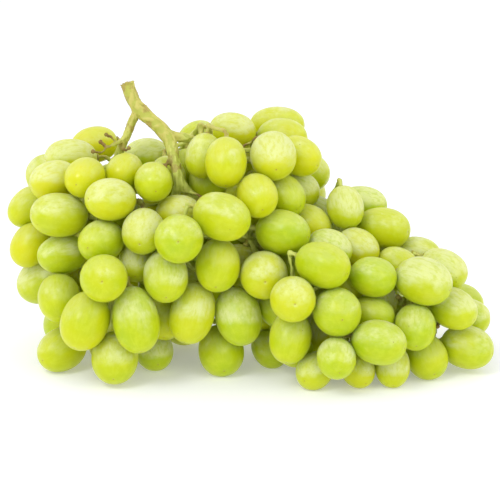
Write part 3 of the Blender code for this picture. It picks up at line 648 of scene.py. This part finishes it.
def spread(values: Array, edges: Array, weights: Array | None = None, rounds: int = 1) -> Array:
    """The mean of each corner's neighbours.

    Args:
        values: Values by corner, with a column each.
        edges: The mesh's edges.
        weights: A weight for each edge, or none.
        rounds: How many times the mean is taken.

    Returns:
        The means, shaped like the values.
    """
    count = len(values)
    first, second = edges.T
    share = np.ones(len(edges)) if weights is None else weights
    total = np.bincount(first, share, count) + np.bincount(second, share, count)
    for _ in range(rounds):
        result = np.empty_like(values, dtype=float)
        for column in range(values.shape[1]):
            line = values[:, column]
            result[:, column] = np.bincount(first, share * line[second], count)
            result[:, column] += np.bincount(second, share * line[first], count)
        values = result / np.maximum(total, 1e-12)[:, None]
    return values


def eased(share: Array) -> Array:
    """Smooth step between 0 and 1."""
    share = np.clip(share, 0.0, 1.0)
    return share * share * (3.0 - 2.0 * share)


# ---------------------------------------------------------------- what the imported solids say


def merged(node: Item) -> tuple[Array, Array]:
    """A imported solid's corners, each once, and its triangles.

    Args:
        node: The solid's object.

    Returns:
        Corners by xyz, and triangles by corner.
    """
    mesh = node.data
    points = corners(mesh)
    mesh.calc_loop_triangles()
    triangles = rows(mesh.loop_triangles, "vertices", 3, np.int32)
    _, first, inverse = np.unique(np.round(points * MICRONS), axis=0, return_index=True, return_inverse=True)
    triangles = inverse.reshape(-1)[triangles]
    whole = (triangles != np.roll(triangles, -1, axis=1)).all(axis=1)
    return points[first], triangles[whole]


def edges_of(triangles: Array) -> Array:
    """Every edge once, as pairs of corners."""
    pairs = np.concatenate((triangles[:, :2], triangles[:, 1:], triangles[:, [2, 0]]))
    return np.unique(np.sort(pairs, axis=1), axis=0)


@dataclass(frozen=True)
class Berry:
    """One berry's place and size."""

    middle: Array
    axis: Array  # from the stalk end to the tip
    half_length: float
    half_width: float

    def end(self, way: float) -> Array:
        """The tip, for way 1, or the stalk end, for way -1."""
        return self.middle + self.axis * (way * self.half_length)

    def turned(self) -> "Berry":
        """The same berry with its ends swapped."""
        return Berry(self.middle, -self.axis, self.half_length, self.half_width)


@dataclass(frozen=True)
class BerryReader:
    """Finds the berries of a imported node, whose corners lie on their smooth shapes."""

    neck_edge: float = 2.4 * MM  # the necks between berries have shorter edges than the berries
    fewest_corners: int = 16
    rounds: int = 6
    unit: float = 10.0 * MM

    def read(self, node: Item, count: int, stem: BVHTree) -> list[Berry]:
        """Reads a node's berries.

        Args:
            node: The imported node.
            count: How many berries it holds.
            stem: The stem's surface, which touches each berry at its stalk end.

        Returns:
            The berries.
        """
        points, triangles = merged(node)
        clusters = self._clusters(points, edges_of(triangles))
        if len(clusters) != count:
            LOG.warning("%s: %d berries found, %d expected", node.name, len(clusters), count)
        berries = [self._fit(points[cluster]) for cluster in clusters]
        return [berry if self._upright(berry, stem) else berry.turned() for berry in berries]

    def _clusters(self, points: Array, edges: Array) -> list[Array]:
        """Corners of each berry, parted at the necks."""
        length = np.linalg.norm(points[edges[:, 0]] - points[edges[:, 1]], axis=1)
        neck = np.zeros(len(points), bool)
        neck[edges[length < self.neck_edge].ravel()] = True
        kept = edges[~neck[edges].any(axis=1)]
        label = np.arange(len(points))
        while True:
            lowest = np.minimum(label[kept[:, 0]], label[kept[:, 1]])
            before = label.copy()
            np.minimum.at(label, kept[:, 0], lowest)
            np.minimum.at(label, kept[:, 1], lowest)
            if (label == before).all():
                break
        found = [np.flatnonzero((label == value) & ~neck) for value in np.unique(label[~neck])]
        return [cluster for cluster in found if len(cluster) >= self.fewest_corners]

    def _fit(self, points: Array) -> Berry:
        """The round-waisted ellipsoid through the corners."""
        centre = points.mean(axis=0)
        local = (points - centre) / self.unit
        kept = np.ones(len(local), bool)
        for _ in range(self.rounds):
            x, y, z = local[kept].T
            squares = (x * x, y * y, z * z, 2 * x * y, 2 * x * z, 2 * y * z)
            terms = np.stack((*squares, 2 * x, 2 * y, 2 * z), axis=1)
            v = np.linalg.lstsq(terms, np.ones(len(terms)), rcond=None)[0]
            shape = np.array(((v[0], v[3], v[4]), (v[3], v[1], v[5]), (v[4], v[5], v[2])))
            middle = -np.linalg.solve(shape, v[6:])
            shape = shape / (1.0 + middle @ shape @ middle)
            step = local - middle
            off = np.abs(np.sqrt(np.maximum(np.einsum("ij,jk,ik->i", step, shape, step), 0.0)) - 1.0)
            kept = off <= max(1e-4, 3.0 * float(np.median(off)))
        size, axes = np.linalg.eigh(shape)
        halves = self.unit / np.sqrt(size)
        return Berry(centre + middle * self.unit, axes[:, 0], float(halves[0]), float(halves[1:].mean()))

    def _upright(self, berry: Berry, stem: BVHTree) -> bool:
        """Whether the axis already runs from the stalk end."""
        distances = [stem.find_nearest(Vector(berry.end(way)))[3] for way in (-1.0, 1.0)]
        return distances[0] <= distances[1]


# ---------------------------------------------------------------- berries


@dataclass
class Berries:
    """Every berry of the bunch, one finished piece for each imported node."""

    skin: Material
    segments: int = 44
    rings: int = 30
    fullness: float = 2.12  # 2 is a plain ellipsoid, more is blunter
    crowding: float = 0.27  # how far the rings draw toward the ends
    egg: float = 0.05
    unevenness: float = 0.16 * MM
    lump_scale: float = 95.0
    tip_dimple: float = 0.022
    tip_dimple_width: float = 0.07
    stalk_dimple: float = 0.035
    stalk_dimple_width: float = 0.20
    # how much bloom each berry has, which also widens its painted highlight
    bloom: tuple[float, float] = (0.30, 0.66)
    ripeness_and_light: float = 0.42
    ripeness_range: float = 0.34
    painted_light_side: float = -0.0011  # painted light: how the yellow share falls per mm toward the right
    painted_light_top: float = 0.002  # painted light: how it rises per mm above the level
    level: float = 50.0 * MM
    all: list[Berry] = field(default_factory=list)

    def build(self, stem: BVHTree) -> list[Item]:
        """Makes a smooth piece for each berry node.

        Args:
            stem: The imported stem's surface.

        Returns:
            The finished pieces.
        """
        reader = BerryReader()
        values = self._inputs()
        tree = self._tree(values)
        random = np.random.default_rng(SEED)
        pieces = []
        for name in sorted(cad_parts):
            if name == "stem":
                continue
            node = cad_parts[name]
            count = Count[name.split("_")[-2].upper()].value
            found = reader.read(node, count, stem)
            self.all.extend(found)
            piece = grown(self._points(name, found, random), tree, values, f"{name}_skin")
            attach(piece, "root")
            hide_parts(name)
            pieces.append(piece)
        return pieces

    def _inputs(self) -> dict[str, object]:
        """Values for the tree's inputs."""
        low, high = CAD_BOX
        return {
            "Segments": self.segments,
            "Rings": self.rings,
            "Fullness": self.fullness,
            "Unevenness": self.unevenness,
            "Tip Dimple": self.tip_dimple,
            "Stalk Dimple": self.stalk_dimple,
            "Low": tuple(low),
            "High": tuple(high),
            "Skin": self.skin,
        }

    def _points(self, name: str, berries: list[Berry], random: np.random.Generator) -> Item:
        """A point for each berry, carrying what its shape and skin need."""
        numbers = {
            "half_width": [berry.half_width for berry in berries],
            "half_length": [berry.half_length for berry in berries],
            "egg": [float(random.uniform(-self.egg, self.egg)) for _ in berries],
            "berry_seed": [float(random.uniform(0.0, 100.0)) for _ in berries],
            "ripeness_and_light": [self._ripeness_with_painted_light(berry, random) for berry in berries],
            "bloom": [float(random.uniform(*self.bloom)) for _ in berries],
        }
        vectors = {"axis": [berry.axis for berry in berries], "middle": [berry.middle for berry in berries]}
        return places_object(f"{name}_places", vectors, numbers)

    def _ripeness_with_painted_light(self, berry: Berry, random: np.random.Generator) -> float:
        """Each berry's random ripeness plus painted light: yellower, and so lighter, on the left and at the
        top, where the key lamp shines.
        """
        x, _, z = berry.middle / MM
        level = self.ripeness_and_light + self.painted_light_side * x + self.painted_light_top * (z - self.level / MM)
        return float(np.clip(level + random.uniform(-self.ripeness_range, self.ripeness_range), 0.05, 0.95))

    def _tree(self, values: dict[str, object]) -> Tree:
        """Geometry tree that swells a berry round every point."""
        net, source = growing_tree("berries on their places", values)
        width, length = net.named("half_width"), net.named("half_length")
        axis = net.named("axis", "FLOAT_VECTOR")
        scale = net.combine(width, width, length)
        real = net.copies(source["Geometry"], self._ball(net, source), net.facing(axis), scale)
        shaped = net.moved(real, Position=self._swollen(net, source, axis, width, length))
        # how far each corner faces up, which the skin turns into a painted highlight
        facing = net.split(net.here("Normal"))[2]
        net.dress(net.stored(shaped, "skyward", facing), source["Skin"])
        return net.tree

    def _ball(self, net: Wiring, source: object) -> Socket:
        """A unit ball whose rings crowd toward its ends, with each corner's place kept on it."""
        x, y, z = net.split(net.here())
        angle = net.math("ARCCOSINE", net.math("MINIMUM", net.math("MAXIMUM", z, -1.0), 1.0))
        crowd = net.times(net.math("SINE", net.times(angle, 2.0)), self.crowding)
        turned = net.minus(angle, crowd)
        flat = net.vector("NORMALIZE", net.combine(x, y, 0.0))
        out = net.scaled(flat, net.math("SINE", turned))
        spot = net.vector("ADD", out, net.combine(0.0, 0.0, net.math("COSINE", turned)))
        moved = net.moved(net.ball(source["Segments"], source["Rings"]), Position=spot)
        return net.stored(moved, "skin_place", net.here(), "FLOAT_VECTOR")

    def _swollen(self, net: Wiring, source: object, axis: Socket, width: Socket, length: Socket) -> Socket:
        """Where each corner lies on the full, slightly egg-shaped and uneven berry."""
        middle = net.named("middle", "FLOAT_VECTOR")
        x, y, z = net.split(net.named("skin_place", "FLOAT_VECTOR"))
        out = net.vector("LENGTH", net.combine(x, y, 0.0))
        power = source["Fullness"]
        up = net.math("POWER", net.math("ABSOLUTE", z), power)
        total = net.plus(up, net.math("POWER", out, power))
        full = net.math("POWER", total, net.math("DIVIDE", -1.0, power))
        along = net.times(z, full)
        egg = net.plus(1.0, net.times(net.named("egg"), along))
        girth = net.times(net.times(net.times(out, full), egg), width)
        tip = self._dimple(net, out, self.tip_dimple_width, source["Tip Dimple"])
        stalk = self._dimple(net, out, self.stalk_dimple_width, source["Stalk Dimple"])
        tip = net.times(tip, net.math("GREATER_THAN", z, 0.0))
        stalk = net.times(stalk, net.math("LESS_THAN", z, 0.0))
        along = net.times(net.plus(net.minus(along, tip), stalk), length)
        step = net.vector("SUBTRACT", net.here(), middle)
        risen = net.scaled(axis, net.vector("DOT_PRODUCT", step, axis))
        outward = net.vector("NORMALIZE", net.vector("SUBTRACT", step, risen))
        spot = net.vector("ADD", middle, net.scaled(axis, along))
        spot = net.vector("ADD", spot, net.scaled(outward, girth))
        seed = net.combine(net.named("berry_seed"), 0.0, 0.0)
        lump = net.times(net.drift(net.vector("ADD", spot, seed), self.lump_scale, 1.0), 2.0)
        direction = net.vector("NORMALIZE", net.vector("SUBTRACT", spot, middle))
        spot = net.vector("ADD", spot, net.scaled(direction, net.times(lump, source["Unevenness"])))
        return net.vector("MINIMUM", net.vector("MAXIMUM", spot, source["Low"]), source["High"])

    def _dimple(self, net: Wiring, out: Socket, width: float, depth: Socket) -> Socket:
        """Depth of a dimple round the axis, as a share of the half-length."""
        near = net.math("DIVIDE", out, width)
        return net.times(net.math("EXPONENT", net.times(net.times(near, near), -1.0)), depth)


# ---------------------------------------------------------------- stem


@dataclass(frozen=True)
class StalkEnd:
    """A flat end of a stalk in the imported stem."""

    middle: Array
    outward: Array
    radius: float
    sides: int


@dataclass
class Stem:
    """The whole grown stem: stalk, branches and every pedicel, as one piece."""

    wood: Material
    voxel: float = 0.56 * MM
    rounding: int = 6
    relaxed: float = 0.60
    restored: float = 0.56
    swell: float = 0.12 * MM
    worn_reach: float = 9.0 * MM
    own_width: float = 2.9 * MM  # what is further from a stalk's line belongs to another stalk
    own_edge: float = 1.0 * MM
    ridge: float = 0.30 * MM
    grain_rounds: int = 26
    knobbly: float = 0.24 * MM
    shrivel: float = 0.28 * MM
    dried_reach: float = 8.0 * MM
    cut_depth: float = 0.25 * MM
    cut_edge: float = 0.5 * MM
    cut_dish: float = 0.9 * MM
    cut_rough: float = 0.35 * MM
    cut_sides: int = 10
    bare_sides: int = 6
    ends: list[StalkEnd] = field(default_factory=list)

    def surface(self) -> BVHTree:
        """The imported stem's surface, and its flat ends read from it."""
        points, triangles = merged(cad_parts["stem"])
        self.ends = stalk_ends(points, triangles)
        return BVHTree.FromPolygons(points.tolist(), triangles.tolist())

    def build(self) -> Item:
        """Makes the stem.

        Returns:
            The finished piece.
        """
        rough = mesh_object("stem_rough", *merged(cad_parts["stem"]))
        remesh = rough.modifiers.new("even skin", "REMESH")
        remesh.mode = "VOXEL"
        remesh.voxel_size = self.voxel
        piece = baked(rough, "grown_stem")
        edges = rows(piece.data.edges, "vertices", 2, np.int32)
        self._round(piece.data, edges)
        self._detail(piece.data, edges)
        piece.data.materials.clear()
        piece.data.materials.append(self.wood)
        piece.data.shade_smooth()
        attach(piece, "root")
        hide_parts("stem")
        return piece

    def _round(self, mesh: Mesh, edges: Array) -> None:
        """Rounds the stalks' square sections, then makes up for what that takes off."""
        points = corners(mesh)
        for _ in range(self.rounding):
            points = points + self.relaxed * (spread(points, edges) - points)
            points = points - self.restored * (spread(points, edges) - points)
        place(mesh, points)
        place(mesh, points + rows(mesh.vertex_normals, "vector", 3) * self.swell)

    def _detail(self, mesh: Mesh, edges: Array) -> None:
        """Ridges along the stalks, knobbly dried pedicels and the ragged cut."""
        points, out = corners(mesh), rows(mesh.vertex_normals, "vector", 3)
        grain = self._grain(points, edges, out)
        random = np.random.default_rng(SEED + 1)
        lumps = spread(random.standard_normal(len(points))[:, None], edges, rounds=3)[:, 0]
        lumps /= lumps.std()
        dried, cut, worn = self._states(points, out, random)
        moved = points + out * ((grain - 0.5) * 2.0 * self.ridge * (1.0 - 0.6 * dried))[:, None]
        moved += out * ((lumps * self.knobbly - self.shrivel) * dried)[:, None]
        for end in self.ends:
            if end.sides == self.cut_sides:
                radial = np.linalg.norm(np.cross(moved - end.middle, end.outward), axis=1) / end.radius
                dish = self.cut_dish * (1.0 - np.clip(radial, 0.0, 1.0) ** 2) + self.cut_rough * np.abs(lumps)
                moved -= end.outward[None, :] * (dish * cut)[:, None]
        place(mesh, np.clip(moved, *CAD_BOX))
        knot = self._knots(moved, edges, out)
        for name, values in {"grain": grain, "dried": dried, "cut": cut, "knot": knot, "worn": worn}.items():
            layer = mesh.attributes.new(name, "FLOAT", "POINT")
            layer.data.foreach_set("value", values.astype(np.float32))

    def _states(self, points: Array, out: Array, random: np.random.Generator) -> Array:
        """How dried, how much of a cut face and how worn each corner is, a row each."""
        dried, cut, worn = np.zeros((3, len(points)))
        for end in self.ends:
            step = points - end.middle
            height = step @ end.outward
            away = np.linalg.norm(step, axis=1)
            aside = np.sqrt(np.maximum(away**2 - height**2, 0.0))
            near = eased((self.own_width - aside) / self.own_edge)
            if end.sides == self.bare_sides:
                dried = np.maximum(dried, near * eased(1.0 - (away / self.dried_reach - 0.35) / 0.65))
            elif end.sides == self.cut_sides:
                face = eased(1.0 + (height + self.cut_depth) / self.cut_edge) * (away < 2.0 * end.radius)
                cut = np.maximum(cut, face * (out @ end.outward > 0.3))
            else:
                amount = random.uniform(0.35, 1.0)
                worn = np.maximum(worn, near * amount * eased(1.25 - away / self.worn_reach))
        return np.stack((dried, cut, worn))

    def _grain(self, points: Array, edges: Array, out: Array) -> Array:
        """Random values drawn out along the stalks, between 0 and 1."""
        tensor = spread((out[:, :, None] * out[:, None, :]).reshape(-1, 9), edges, rounds=8)
        _, axes = np.linalg.eigh(tensor.reshape(-1, 3, 3))
        along = axes[:, :, 0]
        step = points[edges[:, 1]] - points[edges[:, 0]]
        step /= np.linalg.norm(step, axis=1)[:, None]
        first, second = (np.abs((along[edges[:, end]] * step).sum(axis=1)) for end in (0, 1))
        weights = (0.5 * (first + second)) ** 10 + 0.004
        random = np.random.default_rng(SEED + 2)
        values = spread(random.standard_normal((len(points), 1)), edges)
        for _ in range(self.grain_rounds):
            values = 0.3 * values + 0.7 * spread(values, edges, weights)
        fine = (values - 0.6 * spread(values, edges, rounds=4))[:, 0]
        return 0.5 + 0.5 * np.tanh(1.1 * fine / fine.std())

    def _knots(self, points: Array, edges: Array, out: Array) -> Array:
        """How brown each spot is: more in the hollows where branches part."""
        hollow = ((spread(points, edges) - points) * out).sum(axis=1)[:, None]
        hollow = spread(hollow, edges, rounds=10)[:, 0]
        return np.clip(0.36 + 0.10 * hollow / hollow.std(), 0.25, 0.72)


SAME_FLAT = 0.99995  # cosine between the triangles of one flat
UNEVEN_RIM = 0.02
WIDEST_END = 4.0 * MM


def stalk_ends(points: Array, triangles: Array) -> list[StalkEnd]:
    """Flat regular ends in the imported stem: the cut, the bare pedicels' tips and the berries' seats.

    Args:
        points: The stem's corners.
        triangles: Its triangles.

    Returns:
        The ends.
    """
    a, b, c = points[triangles[:, 0]], points[triangles[:, 1]], points[triangles[:, 2]]
    normal = np.cross(b - a, c - a)
    normal /= np.maximum(np.linalg.norm(normal, axis=1), 1e-15)[:, None]
    sharers: dict[tuple[int, int], list[int]] = {}
    for number, triangle in enumerate(triangles):
        for first, second in ((0, 1), (1, 2), (2, 0)):
            key = tuple(sorted((int(triangle[first]), int(triangle[second]))))
            sharers.setdefault(key, []).append(number)
    label = list(range(len(triangles)))

    def root(number: int) -> int:
        """The first triangle of this one's flat."""
        while label[number] != number:
            label[number] = label[label[number]]
            number = label[number]
        return number

    for pair in sharers.values():
        if len(pair) == 2 and normal[pair[0]] @ normal[pair[1]] > SAME_FLAT:
            label[root(pair[0])] = root(pair[1])
    flats: dict[int, list[int]] = {}
    for number in range(len(triangles)):
        flats.setdefault(root(number), []).append(number)
    found = []
    for members in flats.values():
        rim = points[np.unique(triangles[members])]
        if len(rim) < 4 or len(members) != len(rim) - 2:
            continue
        middle = rim.mean(axis=0)
        radii = np.linalg.norm(rim - middle, axis=1)
        if radii.std() < UNEVEN_RIM * radii.mean() and radii.mean() < WIDEST_END:
            found.append(StalkEnd(middle, normal[members[0]], float(radii.mean()), len(rim)))
    return found


@dataclass
class Collars:
    """The swollen ends of the pedicels: green where they hold a berry, and dried where it is lost."""

    wood: Material
    radius: float = 1.75 * MM
    thickness: float = 0.85 * MM
    sunk: float = 0.25 * MM
    dried_radius: float = 1.05 * MM
    dried_sunk: float = 0.2 * MM
    unevenness: float = 0.35 * MM
    lump_scale: float = 900.0
    segments: int = 14
    rings: int = 7

    def build(self, berries: list[Berry], ends: list[StalkEnd], bare_sides: int) -> Item:
        """Makes every collar as one piece.

        Args:
            berries: The bunch's berries.
            ends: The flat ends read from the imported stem.
            bare_sides: The number of sides of a bare pedicel's end.

        Returns:
            The finished piece.
        """
        random = np.random.default_rng(SEED + 3)
        seats = []
        for berry in berries:
            seats.append((berry.end(-1.0) - berry.axis * self.sunk, -berry.axis, self.radius, 0.15))
        for end in ends:
            if end.sides == bare_sides:
                middle = end.middle - end.outward * self.dried_sunk
                seats.append((middle, end.outward, self.dried_radius, 0.85))
        numbers = {
            "size": [seat[2] * float(random.uniform(0.85, 1.15)) for seat in seats],
            "dried": [seat[3] + float(random.uniform(0.0, 0.25)) for seat in seats],
            "knot": [float(random.uniform(0.45, 0.65)) for _ in seats],
            "grain": [0.5 for _ in seats],
            "cut": [0.0 for _ in seats],
            "worn": [float(random.uniform(0.4, 1.0)) for _ in seats],
        }
        vectors = {"axis": [seat[1] for seat in seats], "middle": [seat[0] for seat in seats]}
        values = {
            "Segments": self.segments,
            "Rings": self.rings,
            "Thickness": self.thickness,
            "Unevenness": self.unevenness,
            "Wood": self.wood,
        }
        places = places_object("collar_places", vectors, numbers)
        piece = grown(places, self._tree(values), values, "pedicel_collars")
        place(piece.data, np.clip(corners(piece.data), *CAD_BOX))
        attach(piece, "root")
        return piece

    def _tree(self, values: dict[str, object]) -> Tree:
        """Geometry tree that puts a lumpy collar on every place."""
        net, source = growing_tree("collars on their pedicels", values)
        size = net.named("size")
        turn = net.facing(net.named("axis", "FLOAT_VECTOR"))
        button = net.ball(source["Segments"], source["Rings"])
        scale = net.combine(size, size, source["Thickness"])
        real = net.copies(source["Geometry"], button, turn, scale)
        lump = net.drift(net.here(), self.lump_scale)
        height = net.times(lump, net.times(source["Unevenness"], 2.0))
        lumpy = net.moved(real, Offset=net.scaled(net.here("Normal"), height))
        net.dress(lumpy, source["Wood"])
        return net.tree


@dataclass
class Lenticels:
    """Small corky warts strewn over the stem."""

    wood: Material
    density: float = 30000.0  # on a square metre
    smallest: float = 0.16 * MM
    largest: float = 0.40 * MM
    flatness: float = 0.45
    brownness: float = 0.75
    segments: int = 6
    rings: int = 4

    def build(self, stem: Item) -> Item:
        """Makes the warts as one piece.

        Args:
            stem: The finished stem, which they stand on.

        Returns:
            The finished piece.
        """
        values = {
            "Density": self.density,
            "Smallest": self.smallest,
            "Largest": self.largest,
            "Flatness": self.flatness,
            "Wood": self.wood,
        }
        ground = linked("lenticel_ground", stem.data.copy())
        piece = grown(ground, self._tree(values), values, "stem_lenticels")
        place(piece.data, np.clip(corners(piece.data), *CAD_BOX))
        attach(piece, "root")
        return piece

    def _tree(self, values: dict[str, object]) -> Tree:
        """Geometry tree that strews warts over a surface."""
        net, source = growing_tree("warts on the stem", values)
        strewn = net.add(
            "GeometryNodeDistributePointsOnFaces",
            {"Mesh": source["Geometry"], "Density": source["Density"], "Seed": SEED},
            distribute_method="RANDOM",
        ).outputs
        sizes = {"Min": source["Smallest"], "Max": source["Largest"], "Seed": SEED + 4}
        width = live(net.add("FunctionNodeRandomValue", sizes, data_type="FLOAT").outputs, "Value")
        scale = net.combine(width, width, net.times(width, source["Flatness"]))
        wart = net.ball(self.segments, self.rings)
        real = net.copies(strewn["Points"], wart, strewn["Rotation"], scale)
        net.dress(net.stored(real, "knot", self.brownness), source["Wood"])
        return net.tree


# ---------------------------------------------------------------- studio


@dataclass(frozen=True)
class Lamp:
    """One square soft box."""

    name: str
    where: Place
    size: float
    power: float


@dataclass(frozen=True)
class Studio:
    """Floor, soft light and camera."""

    target: Place = (0.9 * MM, -4.0 * MM, 52.0 * MM)
    distance: float = 0.8
    rise: float = math.radians(15.0)
    lens: float = 128.0
    clip_end: float = 20.0
    floor_size: float = 6.0
    sky: float = 0.92
    seen_sky: float = 1.05
    lamps: tuple[Lamp, ...] = (
        Lamp("key", (-0.6, -0.85, 1.1), 0.50, 6.0),
        Lamp("fill", (0.9, -0.8, 0.7), 1.1, 2.5),
    )

    def build(self) -> None:
        """Sets everything up."""
        self._floor()
        self._sky()
        for lamp in self.lamps:
            self._lamp(lamp)
        self._camera()
        bpy.context.scene.view_settings.view_transform = "Standard"

    def _floor(self) -> None:
        """A wide white floor at the height the bunch rests on."""
        half = self.floor_size / 2.0
        outline = np.array(((-half, -half, 0.0), (half, -half, 0.0), (half, half, 0.0), (-half, half, 0.0)))
        floor = mesh_object("studio_floor", outline, np.arange(4)[None, :])
        floor.data.materials.append(FloorFinish().build())

    def _sky(self) -> None:
        """Even white light from all round, seen as pure white."""
        world = bpy.data.worlds.new("white room")
        world.use_nodes = True
        bpy.context.scene.world = world
        net = Wiring(world.node_tree)
        world.node_tree.nodes.clear()
        seen = net.add("ShaderNodeLightPath").outputs["Is Camera Ray"]
        strength = net.between(seen, self.sky, self.seen_sky)
        sky = net.add("ShaderNodeBackground", {"Color": WHITE, "Strength": strength})
        net.add("ShaderNodeOutputWorld", {"Surface": sky.outputs[0]})

    def _lamp(self, lamp: Lamp) -> None:
        """Aims a soft box at the bunch."""
        data = bpy.data.lights.new(lamp.name, "AREA")
        data.size = lamp.size
        data.energy = lamp.power
        linked(lamp.name, data).matrix_world = aimed(Vector(lamp.where), Vector(self.target))

    def _camera(self) -> None:
        """Looks at the bunch from the front and a little above."""
        data = bpy.data.cameras.new("camera")
        data.lens = self.lens
        data.clip_end = self.clip_end
        away = Vector((0.0, -math.cos(self.rise), math.sin(self.rise)))
        target = Vector(self.target)
        camera = linked("camera", data)
        camera.matrix_world = aimed(target + away * self.distance, target)
        bpy.context.scene.camera = camera


def aimed(where: Vector, target: Vector) -> Matrix:
    """Place and turn of a camera or lamp that looks at a target."""
    turn = (target - where).to_track_quat("-Z", "Y")
    return Matrix.Translation(where) @ turn.to_matrix().to_4x4()


def main() -> None:
    """Builds the bunch and its studio."""
    logging.basicConfig(level=logging.INFO, format="%(name)s: %(message)s")
    effects = Effects()
    stem = Stem(StemFinish().build(effects))
    surface = stem.surface()
    LOG.info("stem ends: %s", sorted({(end.sides, round(end.radius / MM, 2)) for end in stem.ends}))
    berries = Berries(SkinFinish().build(effects))
    for piece in berries.build(surface):
        LOG.info("%s: %d faces", piece.name, len(piece.data.polygons))
    wood = stem.build()
    collars = Collars(stem.wood).build(berries.all, stem.ends, stem.bare_sides)
    warts = Lenticels(stem.wood).build(wood)
    for piece in (wood, collars, warts):
        LOG.info("%s: %d faces", piece.name, len(piece.data.polygons))
    Studio().build()


if __name__ == "__main__":
    main()
